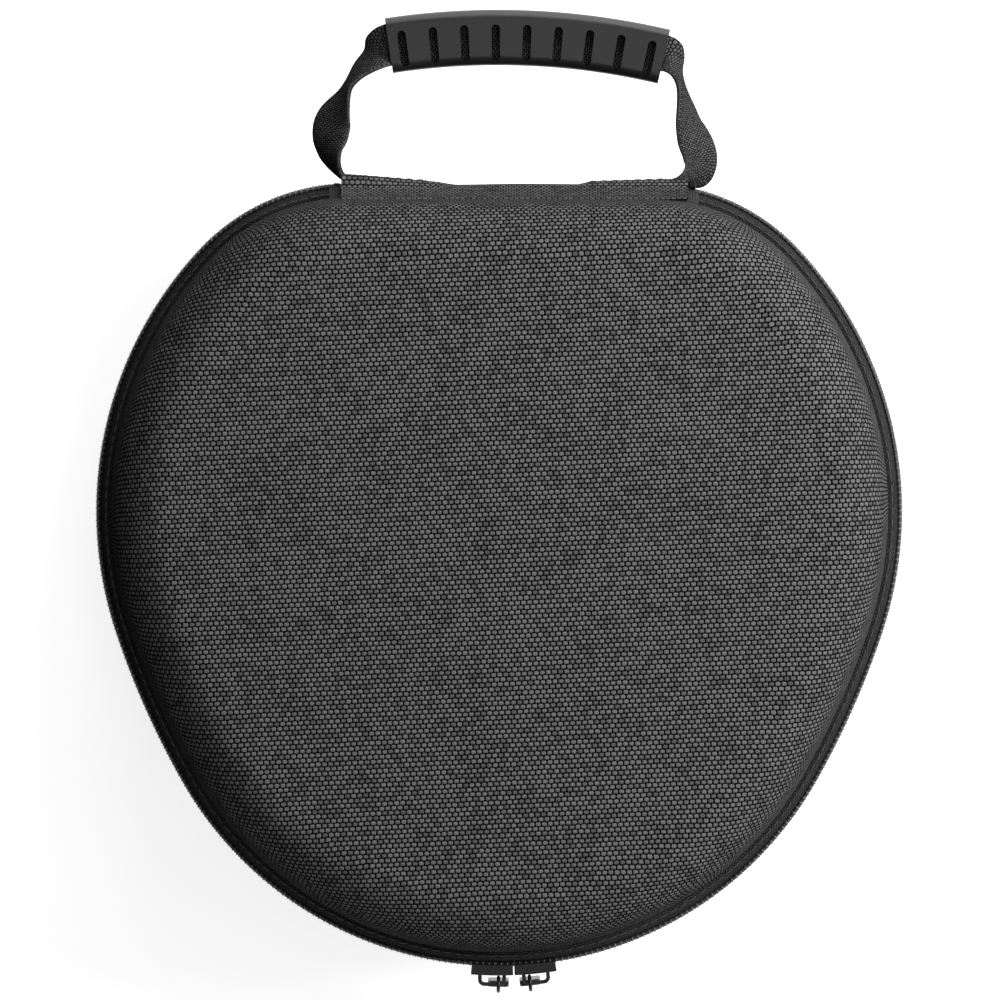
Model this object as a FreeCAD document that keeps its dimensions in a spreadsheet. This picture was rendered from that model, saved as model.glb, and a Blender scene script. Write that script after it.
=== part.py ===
import FreeCAD
import Part
import math
import os
import re

import Sketcher
from FreeCAD import Placement, Rotation, Vector

# Hard-shell carrying case for over-ear headphones, in millimetres.
#
# The case lies on its flat underside: +Z up, -Y towards the zip sliders, +Y towards the fabric
# hinge and the handle. The origin is the middle of the underside. Lid and base are the two halves
# of one rounded shell that meet at the parting plane, where a coil zip runs round the front and
# the sides. A fabric spine joins them at the back and carries the webbing handle.
#
# Sections through the rim are drawn with two measures: the inset from the outermost edge of the
# zip, and the rise from the parting plane. Each half is drawn rising from the parting plane, and
# the base is that drawing turned over about Y.

SIZES = {
    # plan outline at the outermost edge of the zip: a straight back and seven tangent arcs
    "back_edge": 102.5,
    "corner_radius": 54,
    "side_radius": 100,
    "side_across": 5,
    "side_along": 17,
    "flank_radius": 217,
    "front_radius": 95,
    "front_along": 6.5,
    # moulded halves: woven cover, EVA core and lining, one inside the other
    "half_height": 48,
    "shell_inset": 4,
    "shell_rim": 6.2,
    "wall_draft": 5,
    "cover_thick": 0.8,
    "core_thick": 3.5,
    "lining_thick": 0.8,
    "lid_round": 14,
    "base_round": 12,
    "crown_radius": 1000,
    "crown_margin": 20,
    # zip: coil, tape, the thread in the groove and the binding inside
    "coil_start": 0.35,
    "coil_width": 1.6,
    "coil_top": 2.6,
    "tape_thick": 0.7,
    "tape_turn": 3.3,
    "tape_top": 14,
    "stop_length": 1.5,
    "stop_half_height": 3.4,
    "thread_thick": 0.5,
    "thread_width": 0.9,
    "binding_thick": 0.6,
    "binding_top": 15,
    # fabric hinge and spine
    "spine_width": 90,
    "spine_shift": 4,
    "zip_gap": 94,
    "fold_along": 101.3,
    "fold_rise": 6,
    "fold_gap": 0.7,
    "panel_thick": 1.2,
    "gusset_thick": 0.8,
    "flap_rise": 10.2,
    "flap_inset": 3.9,
    # webbing handle with its rubber grip
    "strap_width": 11.4,
    "strap_thick": 1.8,
    "tail_left": 24,
    "tail_right": 28,
    "swing_along": 106,
    "stub_end": 105,
    "leg_root_width": 2.4,
    "leg_end_width": 10.2,
    "leg_gap": 0.05,
    "grip_across": 7.2,
    "grip_along": 140,
    "grip_tilt": 2.3,
    "grip_bend": 190,
    "grip_length": 72,
    "grip_width": 14.4,
    "grip_thick": 7.6,
    "grip_round": 2.6,
    "slot_overcut": 2,
    "sleeve_gap": 0.3,
    "slot_count": 9,
    "slot_pitch": 8.1,
    "slot_width": 2.2,
    "slot_length": 9.3,
    "slot_shift": 1.4,
    # sliders, measured from the middle of the front arc
    "meet_angle": 2.25,
    "slider_half_angle": 3.25,
    "slider_apart_angle": 0.1,
    "wing_gap": 0.3,
    "wing_thick": 1.8,
    "wing_half_width": 4.1,
    "flange_thick": 1,
    "flange_reach": 1,
    "inner_wing_inset": 2.65,
    "inner_wing_thick": 1,
    "inner_wing_half_width": 2.7,
    "post_half_thick": 0.15,
    "bow_length": 7.3,
    "bow_rise": 2.9,
    "bow_bar": 1,
    "bow_width": 1.6,
    "bow_round": 1.7,
    "eye_offset": 1.7,
    "eye_radius": 1.75,
    "eye_wire": 0.5,
    "tab_width": 5.4,
    "tab_thick": 1.5,
    "tab_length": 24,
    "tab_round": 2.2,
    # inside: headphone cradle in the base, accessory net in the lid
    "cradle_length": 78,
    "cradle_width": 36,
    "cradle_height": 34,
    "cradle_along": 8,
    "cradle_round": 10,
    "net_rise": 30,
    "net_thick": 0.8,
    "net_mouth": 28,
    "net_inset": 12.2,
    "hem_width": 9,
    "hem_thick": 1.8,
}

doc = FreeCAD.newDocument("HeadphoneCase")
sheet = doc.addObject("Spreadsheet::Sheet", "Sizes")
for row, (alias, value) in enumerate(SIZES.items(), start=1):
    sheet.set(f"A{row}", alias)
    sheet.set(f"B{row}", str(value))
    sheet.setAlias(f"B{row}", alias)
doc.recompute()


# ---- reading and binding sizes ----


def cells(formula):
    """A formula in size names, with each name turned into its spreadsheet cell."""
    return re.sub(r"[a-z_]+", lambda word: "Sizes." + word[0] if word[0] in SIZES else word[0], formula)


def size(formula):
    """The value of a formula in size names."""
    return float(sheet.evalExpression(cells(formula)))


def bind(item, prop, formula):
    """Set a property of a document object and keep it tied to the sheet."""
    item.setExpression(prop, cells(formula))


# ---- where each piece sits ----

LID_SEAT = Placement(Vector(0, 0, size("half_height")), Rotation())
BASE_SEAT = Placement(Vector(0, 0, size("half_height")), Rotation(Vector(0, 1, 0), 180))
parts = []


def keep(item, label, seat=None):
    """Name a finished sub-part and put it in its place."""
    item.Label = label
    if seat is not None:
        item.Placement = seat
    parts.append(item)
    return item


def half_seat(half):
    """The placement of one half: the base is the lid's drawing turned over."""
    return LID_SEAT if half == "lid" else BASE_SEAT


# ---- sketches ----


def new_body(name):
    return doc.addObject("PartDesign::Body", name)


def new_sketch(body, name, role, lift=0.0):
    """A sketch on one of a body's own origin planes, lifted along the plane's normal."""
    sketch = body.newObject("Sketcher::SketchObject", name)
    plane = next(item for item in body.Origin.OriginFeatures if item.Role == role)
    sketch.AttachmentSupport = (plane, "")
    sketch.MapMode = "FlatFace"
    sketch.AttachmentOffset = Placement(Vector(0, 0, lift), Rotation())
    return sketch


def polygon(body, name, role, corners):
    """A closed polygon whose corner coordinates are formulas in size names."""
    sketch = new_sketch(body, name, role)
    points = [Vector(size(across), size(up), 0) for across, up in corners]
    count = len(points)
    for index, point in enumerate(points):
        sketch.addGeometry(Part.LineSegment(point, points[(index + 1) % count]), False)
    for index in range(count):
        sketch.addConstraint(Sketcher.Constraint("Coincident", index, 2, (index + 1) % count, 1))
    for index, (across, up) in enumerate(corners):
        for kind, formula in (("DistanceX", across), ("DistanceY", up)):
            number = sketch.addConstraint(Sketcher.Constraint(kind, -1, 1, index, 1, size(formula)))
            bind(sketch, f"Constraints[{number}]", formula)
    return sketch


def rectangle(body, name, role, low, high):
    """An axis-aligned rectangle from its low and high corners, given as formulas."""
    corners = [(low[0], low[1]), (high[0], low[1]), (high[0], high[1]), (low[0], high[1])]
    return polygon(body, name, role, corners)


# ---- the plan outline ----


def meeting_point(first, first_reach, second, second_reach):
    """The point at the given distances from two centres that lies further to -X."""
    apart = second - first
    along = (first_reach**2 - second_reach**2 + apart.Length**2) / (2 * apart.Length)
    aside = math.sqrt(first_reach**2 - along**2)
    unit = apart.normalize()
    normal = Vector(-unit.y, unit.x, 0)
    choices = (first + unit * along + normal * aside, first + unit * along - normal * aside)
    return min(choices, key=lambda point: point.x)


def outline_arcs():
    """Centre, radius, start and end angle of each arc on the +X side, from the back corner on."""
    side = Vector(size("side_across"), size("side_along"), 0)
    front = Vector(0, -size("front_along"), 0)
    corner_along = size("back_edge - corner_radius")
    reach = size("side_radius - corner_radius")
    corner = Vector(side.x + math.sqrt(reach**2 - (corner_along - side.y) ** 2), corner_along, 0)
    flank_from_side = size("flank_radius - side_radius")
    flank_from_front = size("flank_radius - front_radius")
    flank = meeting_point(side, flank_from_side, front, flank_from_front)

    def heading(start, end):
        return math.atan2(end.y - start.y, end.x - start.x)

    turns = [math.pi / 2, heading(side, corner), heading(flank, side), heading(flank, front)]
    return [
        (corner, "corner_radius", turns[1], turns[0]),
        (side, "side_radius", turns[2], turns[1]),
        (flank, "flank_radius", turns[3], turns[2]),
        (front, "front_radius", math.pi - turns[3] - 2 * math.pi, turns[3]),
    ]


ARCS = outline_arcs()


def draw_outline(body, name, inset, rise):
    """The outline moved inwards by an inset, as a closed loop that starts at the back's middle.

    The loop is the straight back in two halves and seven arcs. Every arc keeps its centre and its
    radius shrinks by the inset, so all insets stay parallel.
    """
    sketch = new_sketch(body, name, "XY_Plane", rise)
    amount = size(inset)
    back = size("back_edge") - amount
    corner = ARCS[0][0]
    left_side = [
        (Vector(-centre.x, centre.y, 0), radius, math.pi - end, math.pi - start)
        for centre, radius, start, end in ARCS[:3]
    ]
    arcs = left_side + [ARCS[3]] + ARCS[2::-1]
    loop = [Part.LineSegment(Vector(0, back, 0), Vector(-corner.x, back, 0))]
    for centre, radius, start, end in arcs:
        circle = Part.Circle(centre, Vector(0, 0, 1), size(radius) - amount)
        loop.append(Part.ArcOfCircle(circle, start, end))
    loop.append(Part.LineSegment(Vector(corner.x, back, 0), Vector(0, back, 0)))
    sketch.addGeometry(loop, False)
    last = len(loop) - 1
    make = Sketcher.Constraint
    sketch.addConstraint([make("Tangent", index, 2, index + 1, 1) for index in range(last)])
    sketch.addConstraint(make("Coincident", last, 2, 0, 1))
    sketch.addConstraint(make("PointOnObject", 0, 1, -2))
    measures = [("Radius", (index + 1,), f"{arc[1]} - ({inset})") for index, arc in enumerate(arcs)]
    measures += [
        ("DistanceX", (6, 3, -1, 1), "0 - side_across"),
        ("DistanceY", (-1, 1, 6, 3), "side_along"),
        ("DistanceX", (2, 3, -1, 1), "side_across"),
        ("DistanceY", (-1, 1, 2, 3), "side_along"),
        ("DistanceY", (4, 3, -1, 1), "front_along"),
        ("DistanceY", (-1, 1, 0, 1), f"back_edge - ({inset})"),
        ("DistanceY", (-1, 1, 0, 2), f"back_edge - ({inset})"),
        ("DistanceY", (-1, 1, last, 1), f"back_edge - ({inset})"),
    ]
    for kind, where, formula in measures:
        number = sketch.addConstraint(make(kind, *where, size(formula)))
        bind(sketch, f"Constraints[{number}]", formula)
    sketch.addConstraint(make("PointOnObject", 4, 3, -2))
    return sketch


# ---- the two moulded halves ----


def edges_where(shape, test):
    """The names of the edges whose every vertex passes a test."""
    names = []
    for index, edge in enumerate(shape.Edges, start=1):
        if all(test(vertex.Point) for vertex in edge.Vertexes):
            names.append(f"Edge{index}")
    return names


def pad(body, sketch, name, length, both_ways=False):
    """A Pad of a sketch with its length tied to the sheet."""
    feature = body.newObject("PartDesign::Pad", name)
    feature.Profile = sketch
    feature.Midplane = both_ways
    bind(feature, "Length", length)
    return feature


def round_edges(body, base, name, radius, test):
    """A Fillet of the edges of a feature whose vertices pass a test."""
    doc.recompute()
    feature = body.newObject("PartDesign::Fillet", name)
    feature.Base = (base, edges_where(base.Shape, test))
    bind(feature, "Radius", radius)
    return feature


def dome(body, name, inset):
    """Grooves away what rises above the lid's shallow crown, a sphere that touches the top."""
    sketch = new_sketch(body, f"{name}_crown", "XZ_Plane")
    radius = size(f"crown_radius - ({inset})")
    centre = Vector(0, size("half_height - crown_radius"), 0)
    reach = size("side_across + side_radius + crown_margin")
    drop = math.sqrt(radius**2 - reach**2)
    apex = centre.y + radius
    above = apex + size("lid_round")
    circle = Part.Circle(centre, Vector(0, 0, 1), radius)
    sketch.addGeometry(Part.ArcOfCircle(circle, math.atan2(drop, reach), math.pi / 2), False)
    corners = [Vector(0, apex, 0), Vector(0, above, 0), Vector(reach, above, 0), Vector(reach, centre.y + drop, 0)]
    for start, end in zip(corners, corners[1:]):
        sketch.addGeometry(Part.LineSegment(start, end), False)
    make = Sketcher.Constraint
    links = [(0, 2, 1, 1), (1, 2, 2, 1), (2, 2, 3, 1), (3, 2, 0, 1)]
    sketch.addConstraint([make("Coincident", *link) for link in links])
    sketch.addConstraint([make("Vertical", 1), make("Horizontal", 2), make("Vertical", 3)])
    sketch.addConstraint([make("PointOnObject", 0, 3, -2), make("PointOnObject", 0, 2, -2)])
    sketch.addConstraint([make("DistanceX", 0, 3, 2, 2, reach), make("DistanceY", -1, 1, 2, 2, above)])
    measures = [
        ("Radius", (0,), f"crown_radius - ({inset})"),
        ("DistanceY", (0, 3, -1, 1), "crown_radius - half_height"),
    ]
    for kind, where, formula in measures:
        number = sketch.addConstraint(make(kind, *where, size(formula)))
        bind(sketch, f"Constraints[{number}]", formula)
    groove = body.newObject("PartDesign::Groove", f"{name}_groove")
    groove.Profile = sketch
    groove.ReferenceAxis = (sketch, ["V_Axis"])
    groove.Angle = 360
    return groove


def form(half, name, depth):
    """One closed form of a half: the outer surface moved inwards by a depth.

    The walls rise from the rim with a draft, the lid's top is crowned and the base's is flat, and
    a fillet rounds the edge between them.
    """
    body = new_body(f"{half}_{name}")
    outline = draw_outline(body, f"{name}_outline", f"shell_inset + {depth}", size("shell_rim"))
    block = pad(body, outline, f"{name}_block", f"half_height - shell_rim - ({depth})")
    block.TaperAngle = -size("wall_draft")
    bind(block, "TaperAngle", "0 - wall_draft")
    if half == "lid":
        block = dome(body, name, depth)
        centre = Vector(0, 0, size("half_height - crown_radius"))
        radius = size(f"crown_radius - ({depth})")
        low = size("half_height - lid_round")

        def on_top(point):
            return abs((point - centre).Length - radius) < 0.01 and point.z > low
    else:
        top = size(f"half_height - ({depth})")

        def on_top(point):
            return abs(point.z - top) < 0.01

    round_edges(body, block, f"{name}_round", f"{half}_round - ({depth})", on_top)
    return body


def shell_layers(half):
    """Cover, core and lining: each layer is one form less the next one in."""
    depths = ["0", "cover_thick", "cover_thick + core_thick", "cover_thick + core_thick + lining_thick"]
    forms = [form(half, name, depth) for name, depth in zip(("skin", "foam", "cloth", "hollow"), depths)]
    for name, outer, inner in zip(("cover", "shell_core", "lining"), forms, forms[1:]):
        layer = doc.addObject("Part::Cut", f"{half}_{name}")
        layer.Base = outer
        layer.Tool = inner
        keep(layer, f"{half}_{name}", half_seat(half))


# ---- pieces that run round the rim ----


def lean(depth, rise):
    """The inset of the drafted wall's inner side, a depth inside the shell's rim, at a rise."""
    return f"shell_inset + {depth} + ({rise} - shell_rim) * tan(wall_draft * 1deg)"


SHELL = "cover_thick + core_thick + lining_thick"


def rim_ring(half, name, corners, open_inset=None):
    """A closed ring round the rim from the corners (inset, rise) of its section.

    With open_inset the ring is cut away behind the fabric hinge, from the outside to that inset.
    """
    body = new_body(f"{half}_{name}")
    path = draw_outline(body, f"{name}_path", "0", 0.0)
    corners = [(f"back_edge - ({inset})", rise) for inset, rise in corners]
    section = polygon(body, f"{name}_section", "YZ_Plane", corners)
    doc.recompute()
    ring = body.newObject("PartDesign::AdditivePipe", f"{name}_pipe")
    ring.Profile = section
    ring.Spine = (path, [f"Edge{index + 1}" for index in range(path.GeometryCount)])
    if open_inset:
        shift = "spine_shift" if half == "lid" else "0 - spine_shift"
        low = (f"{shift} - zip_gap / 2", f"back_edge - ({open_inset})")
        high = (f"{shift} + zip_gap / 2", "back_edge + coil_width")
        window = rectangle(body, f"{name}_window", "XY_Plane", low, high)
        doc.recompute()
        gap = body.newObject("PartDesign::Pocket", f"{name}_gap")
        gap.Profile = window
        gap.Midplane = True
        bind(gap, "Length", "half_height")
    return keep(body, f"{half}_{name}", half_seat(half))


def slope_inset(rise):
    """The inset of the zip tape's outer face where it slopes up to the shell's groove."""
    return f"coil_width + ({rise} - tape_turn) * (shell_inset - coil_width) / (shell_rim - tape_turn)"


def rim_pieces(half):
    """Coil, tape, thread and binding of one half."""
    rim_ring(
        half,
        "zip_coil",
        [("0", "coil_start"), ("coil_width", "coil_start"), ("coil_width", "coil_top"), ("0", "coil_top")],
        "2 * shell_inset",
    )
    inside = f"{SHELL} + tape_thick"
    under = "shell_rim - tape_thick"
    tape = [
        ("coil_width", "coil_start"),
        ("coil_width", "tape_turn"),
        ("shell_inset", "shell_rim"),
        (lean(SHELL, "shell_rim"), "shell_rim"),
        (lean(SHELL, "tape_top"), "tape_top"),
        (lean(inside, "tape_top"), "tape_top"),
        (lean(inside, f"({under})"), under),
        ("shell_inset + tape_thick / 2", under),
        ("coil_width + tape_thick", "tape_turn - tape_thick / 2"),
        ("coil_width + tape_thick", "coil_start"),
    ]
    rim_ring(half, "zip_tape", tape, "shell_inset")
    slope = f"({under} - thread_width)"
    thread = [
        (slope_inset(slope), slope),
        (slope_inset(f"({under})"), under),
        (slope_inset(f"({under})") + " - thread_thick", f"{under} + thread_thick / 2"),
        (slope_inset(slope) + " - thread_thick", f"{slope} + thread_thick / 2"),
    ]
    rim_ring(half, "seam_thread", thread, "2 * shell_inset")
    inner = f"{inside} + binding_thick"
    binding = [
        (lean(inside, f"({under})"), under),
        (lean(inside, "binding_top"), "binding_top"),
        (lean(inner, "binding_top"), "binding_top"),
        (lean(inner, f"({under})"), under),
    ]
    rim_ring(half, "inner_binding", binding)


def zip_stops():
    """A bar tack across both tapes at each end of the coil, carried by the base."""
    inner_face = "back_edge - coil_width - tape_thick"
    for side, start in (
        ("left", "spine_shift - zip_gap / 2"),
        ("right", "spine_shift + zip_gap / 2 - stop_length"),
    ):
        stop = doc.addObject("Part::Box", f"stop_{side}")
        bind(stop, "Length", "stop_length")
        bind(stop, "Width", "coil_width + tape_thick")
        bind(stop, "Height", "2 * stop_half_height")
        low = Vector(size(start), size(inner_face), size("half_height - stop_half_height"))
        keep(stop, f"zip_stop_{side}", Placement(low, Rotation()))


# ---- fabric hinge ----


def back_strip(name, label, corners, length="spine_width", seat=None, shift="spine_shift"):
    """A strip along the back edge, padded both ways from a section of (along, up) corners."""
    body = new_body(name)
    section = polygon(body, f"{name}_section", "YZ_Plane", corners)
    strip = pad(body, section, f"{name}_pad", length, both_ways=True)
    doc.recompute()
    middle = Vector(size(shift), 0, 0)
    seat = seat or LID_SEAT
    return keep(body, label, Placement(seat.Base + seat.Rotation.multVec(middle), seat.Rotation)), strip


def fabric_hinge():
    """The spine between two fold lines, and the flaps that join it to the lid and the base."""
    top = "fold_rise - fold_gap"
    low = f"0 - ({top})"
    outer = "fold_along + panel_thick / 2"
    inner = "fold_along - panel_thick / 2"
    panel = [(inner, low), (outer, low), (outer, top), (inner, top)]
    back_strip("panel", "hinge_panel", panel)
    face = f"{inner} - gusset_thick"
    back_strip("gusset", "hinge_gusset", [(face, low), (inner, low), (inner, top), (face, top)])
    flap = [
        ("fold_along", "fold_rise + fold_gap"),
        ("back_edge - flap_inset", "flap_rise"),
        ("back_edge - flap_inset", "flap_rise - 2 * panel_thick"),
        ("fold_along - fold_gap", "fold_rise + fold_gap / 2"),
    ]
    back_strip("lid_flap", "lid_hinge_flap", flap)
    back_strip("base_flap", "base_hinge_flap", flap, seat=BASE_SEAT, shift="0 - spine_shift")


# ---- webbing handle ----


def strap_tails():
    """The two strap ends: sewn flat on the spine, then turned out edge-on as short stubs."""
    face = "fold_along + panel_thick / 2"
    low = "half_height - strap_width / 2"
    edge_left = "spine_shift - spine_width / 2"
    edge_right = "spine_shift + spine_width / 2"
    for side, tail_start, stub_start, length in (
        ("left", edge_left, edge_left, "tail_left"),
        ("right", f"{edge_right} - tail_right", f"{edge_right} - strap_thick", "tail_right"),
    ):
        tail = doc.addObject("Part::Box", f"tail_{side}")
        stub = doc.addObject("Part::Box", f"stub_{side}")
        for block, block_length, width in (
            (tail, length, "strap_thick"),
            (stub, "strap_thick", f"stub_end - ({face})"),
        ):
            bind(block, "Length", block_length)
            bind(block, "Width", width)
            bind(block, "Height", "strap_width")
        tail.Placement = Placement(Vector(size(tail_start), size(face), size(low)), Rotation())
        stub.Placement = Placement(Vector(size(stub_start), size(face), size(low)), Rotation())
        joined = doc.addObject("Part::Fuse", f"strap_tail_{side}")
        joined.Base = tail
        joined.Tool = stub
        keep(joined, f"strap_tail_{side}")


def strap_section(name, middle, heading, twist, width):
    """A rectangular section of the strap, square to its run and turned by the twist.

    With no twist the strap lies flat, its width in the plan; at 90 degrees it stands on edge.
    """
    sketch = doc.addObject("Sketcher::SketchObject", name)
    half_width = width / 2
    half_thick = size("strap_thick / 2")
    corners = [
        Vector(-half_width, -half_thick, 0),
        Vector(half_width, -half_thick, 0),
        Vector(half_width, half_thick, 0),
        Vector(-half_width, half_thick, 0),
    ]
    for index, corner in enumerate(corners):
        sketch.addGeometry(Part.LineSegment(corner, corners[(index + 1) % 4]), False)
    make = Sketcher.Constraint
    sketch.addConstraint([make("Coincident", index, 2, (index + 1) % 4, 1) for index in range(4)])
    sketch.addConstraint([make("Horizontal", 0), make("Vertical", 1), make("Horizontal", 2), make("Vertical", 3)])
    sketch.addConstraint([make("Symmetric", 0, 1, 1, 2, -1, 1), make("DistanceX", 0, 1, 0, 2, width)])
    number = sketch.addConstraint(make("DistanceY", 1, 1, 1, 2, size("strap_thick")))
    bind(sketch, f"Constraints[{number}]", "strap_thick")
    run = Vector(math.cos(math.radians(heading)), math.sin(math.radians(heading)), 0)
    across = Vector(-run.y, run.x, 0)
    turned = Rotation(run, twist)
    frame = Rotation(turned.multVec(across), turned.multVec(Vector(0, 0, 1)), run, "XYZ")
    sketch.Placement = Placement(Vector(middle[0], middle[1], size("half_height")), frame)
    return sketch


def strap_leg(label, stations):
    """A strap leg lofted through its stations: (x, y), heading, twist and width."""
    sections = []
    for index, (middle, heading, twist, width) in enumerate(stations):
        sections.append(strap_section(f"{label}_{index}", middle, heading, twist, width))
    loft = doc.addObject("Part::Loft", label)
    loft.Sections = sections
    loft.Solid = True
    loft.Ruled = True
    return keep(loft, label)


# The grip's own origin is the centre of its bend.
GRIP_SEAT = Placement(
    Vector(size("grip_across"), size("grip_along"), size("half_height")),
    Rotation(Vector(0, 0, 1), -size("grip_tilt")),
)
GRIP_SEAT = GRIP_SEAT.multiply(Placement(Vector(0, -size("grip_bend"), 0), Rotation()))


def grip_entry(side):
    """Where a leg meets the grip's end face, just short of the core, and its heading there."""
    toward_left = 1 if side == "left" else -1
    angle = 90 - size("grip_tilt") + toward_left * math.degrees(size("grip_length / grip_bend / 2"))
    heading = math.radians(angle - 90 * toward_left)
    reach = size("grip_bend")
    across = GRIP_SEAT.Base.x + reach * math.cos(math.radians(angle)) - size("leg_gap") * math.cos(heading)
    along = GRIP_SEAT.Base.y + reach * math.sin(math.radians(angle)) - size("leg_gap") * math.sin(heading)
    return (across, along), math.degrees(heading)


def strap_legs():
    """Both legs, from a narrow root at the swing line to the grip's ends.

    Each leg lies flat, turns on edge at the waist where it bends, and is flat again in the grip.
    Its stations are the strap's middle (across, along), heading, twist and width.
    """
    swing = size("swing_along")
    root_width = size("leg_root_width")
    end_width = size("leg_end_width")
    full = size("strap_width")
    left_end, left_heading = grip_entry("left")
    right_end, right_heading = grip_entry("right")
    left = [
        ((-41.2, swing + 2), 96, 0, root_width),
        ((-43.6, swing + 10.5), 92, 0, end_width),
        ((-41.4, swing + 18.5), 66, 45, full),
        ((-37.0, swing + 24.5), 46, 72, full),
        ((-32.6, swing + 28.6), 30, 40, full),
        (left_end, left_heading, 0, end_width),
    ]
    right = [
        ((49.2, swing + 2), 78, 0, root_width),
        ((51.2, swing + 8.5), 92, 0, end_width - 0.8),
        ((49.2, swing + 15.5), 108, -45, full),
        ((47.2, swing + 21.5), 118, -72, full),
        ((45.8, swing + 26.0), 138, -40, full),
        (right_end, right_heading, 0, end_width),
    ]
    strap_leg("strap_leg_left", left)
    strap_leg("strap_leg_right", right)


def bent_bar(name, low, high, angle):
    """A bar bent along the grip's arc, from its section's low and high corners (radius, up)."""
    body = new_body(name)
    section = rectangle(body, f"{name}_section", "YZ_Plane", low, high)
    doc.recompute()
    bar = body.newObject("PartDesign::Revolution", f"{name}_sweep")
    bar.Profile = section
    bar.ReferenceAxis = (section, ["V_Axis"])
    bar.Midplane = True
    bind(bar, "Angle", angle)
    return body, bar


def grip():
    """The rubber sleeve with its nine slots, and the strap that runs through it."""
    sweep = "grip_length / grip_bend * 180 / pi"
    inner = ("grip_bend - grip_width / 2", "0 - grip_thick / 2")
    outer = ("grip_bend + grip_width / 2", "grip_thick / 2")
    body, bar = bent_bar("grip", inner, outer, sweep)
    radii = (size(inner[0]), size(outer[0]))
    long_edges = round_edges(
        body,
        bar,
        "grip_edges",
        "grip_round",
        lambda point: any(abs(math.hypot(point.x, point.y) - radius) < 0.01 for radius in radii),
    )
    doc.recompute()
    long_edges.Base = (bar, [name for name in long_edges.Base[1] if is_long(bar.Shape, name)])
    doc.recompute()
    cavity = rectangle(
        body,
        "cavity_section",
        "YZ_Plane",
        ("grip_bend - strap_width / 2 - sleeve_gap / 2", "0 - strap_thick / 2 - sleeve_gap / 2"),
        ("grip_bend + strap_width / 2 + sleeve_gap / 2", "strap_thick / 2 + sleeve_gap / 2"),
    )
    doc.recompute()
    bore = body.newObject("PartDesign::Groove", "grip_cavity")
    bore.Profile = cavity
    bore.ReferenceAxis = (cavity, ["V_Axis"])
    bore.Midplane = True
    bind(bore, "Angle", f"{sweep} + 2")
    doc.recompute()
    cut_slots(body)
    keep(body, "handle_grip", GRIP_SEAT)
    core, _ = bent_bar(
        "grip_core",
        ("grip_bend - strap_width / 2", "0 - strap_thick / 2"),
        ("grip_bend + strap_width / 2", "strap_thick / 2"),
        sweep,
    )
    keep(core, "handle_strap_core", GRIP_SEAT)


def is_long(shape, name):
    """Whether an edge runs the grip's length and isn't one of its short end edges."""
    return shape.getElement(name).Length > size("grip_length") / 2


def cut_slots(body):
    """A row of round-ended slots through the grip, spread evenly near its inner edge."""
    sketch = new_sketch(body, "slot", "XY_Plane")
    radius = size("slot_width / 2")
    half = size("slot_length / 2") - radius
    middle = size("grip_bend - slot_shift")
    top = Vector(0, middle + half, 0)
    low = Vector(0, middle - half, 0)
    sketch.addGeometry(Part.ArcOfCircle(Part.Circle(top, Vector(0, 0, 1), radius), 0, math.pi), False)
    sketch.addGeometry(Part.LineSegment(top - Vector(radius, 0, 0), low - Vector(radius, 0, 0)), False)
    sketch.addGeometry(Part.ArcOfCircle(Part.Circle(low, Vector(0, 0, 1), radius), math.pi, 2 * math.pi), False)
    sketch.addGeometry(Part.LineSegment(low + Vector(radius, 0, 0), top + Vector(radius, 0, 0)), False)
    make = Sketcher.Constraint
    sketch.addConstraint([make("Tangent", index, 2, (index + 1) % 4, 1) for index in range(4)])
    sketch.addConstraint([make("PointOnObject", 0, 3, -2), make("Vertical", 1)])
    for kind, where, formula in (
        ("Radius", (0,), "slot_width / 2"),
        ("DistanceY", (-1, 1, 0, 3), "grip_bend - slot_shift + slot_length / 2 - slot_width / 2"),
        ("DistanceY", (-1, 1, 2, 3), "grip_bend - slot_shift - slot_length / 2 + slot_width / 2"),
    ):
        number = sketch.addConstraint(make(kind, *where, size(formula)))
        bind(sketch, f"Constraints[{number}]", formula)
    slot = body.newObject("PartDesign::Pocket", "grip_slot")
    slot.Profile = sketch
    slot.Midplane = True
    bind(slot, "Length", "grip_thick + slot_overcut")
    doc.recompute()
    for direction, reversed_way in (("left", False), ("right", True)):
        pattern = body.newObject("PartDesign::PolarPattern", f"slots_{direction}")
        pattern.Originals = [slot]
        pattern.Axis = (sketch, ["N_Axis"])
        pattern.Reversed = reversed_way
        pattern.Occurrences = int(size("slot_count")) // 2 + 1
        bind(pattern, "Angle", "slot_pitch / grip_bend * 180 / pi * floor(slot_count / 2)")
        body.Tip = pattern
        doc.recompute()


# ---- sliders and pulls ----


def slider_seat(side):
    """The placement of a slider: turned about the front arc's centre, nose to nose with the other."""
    turn = size("slider_half_angle + slider_apart_angle")
    angle = size("meet_angle") + (turn if side == "right" else -turn)
    middle = Vector(0, -size("front_along"), size("half_height"))
    return Placement(middle, Rotation(Vector(0, 0, 1), angle))


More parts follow.
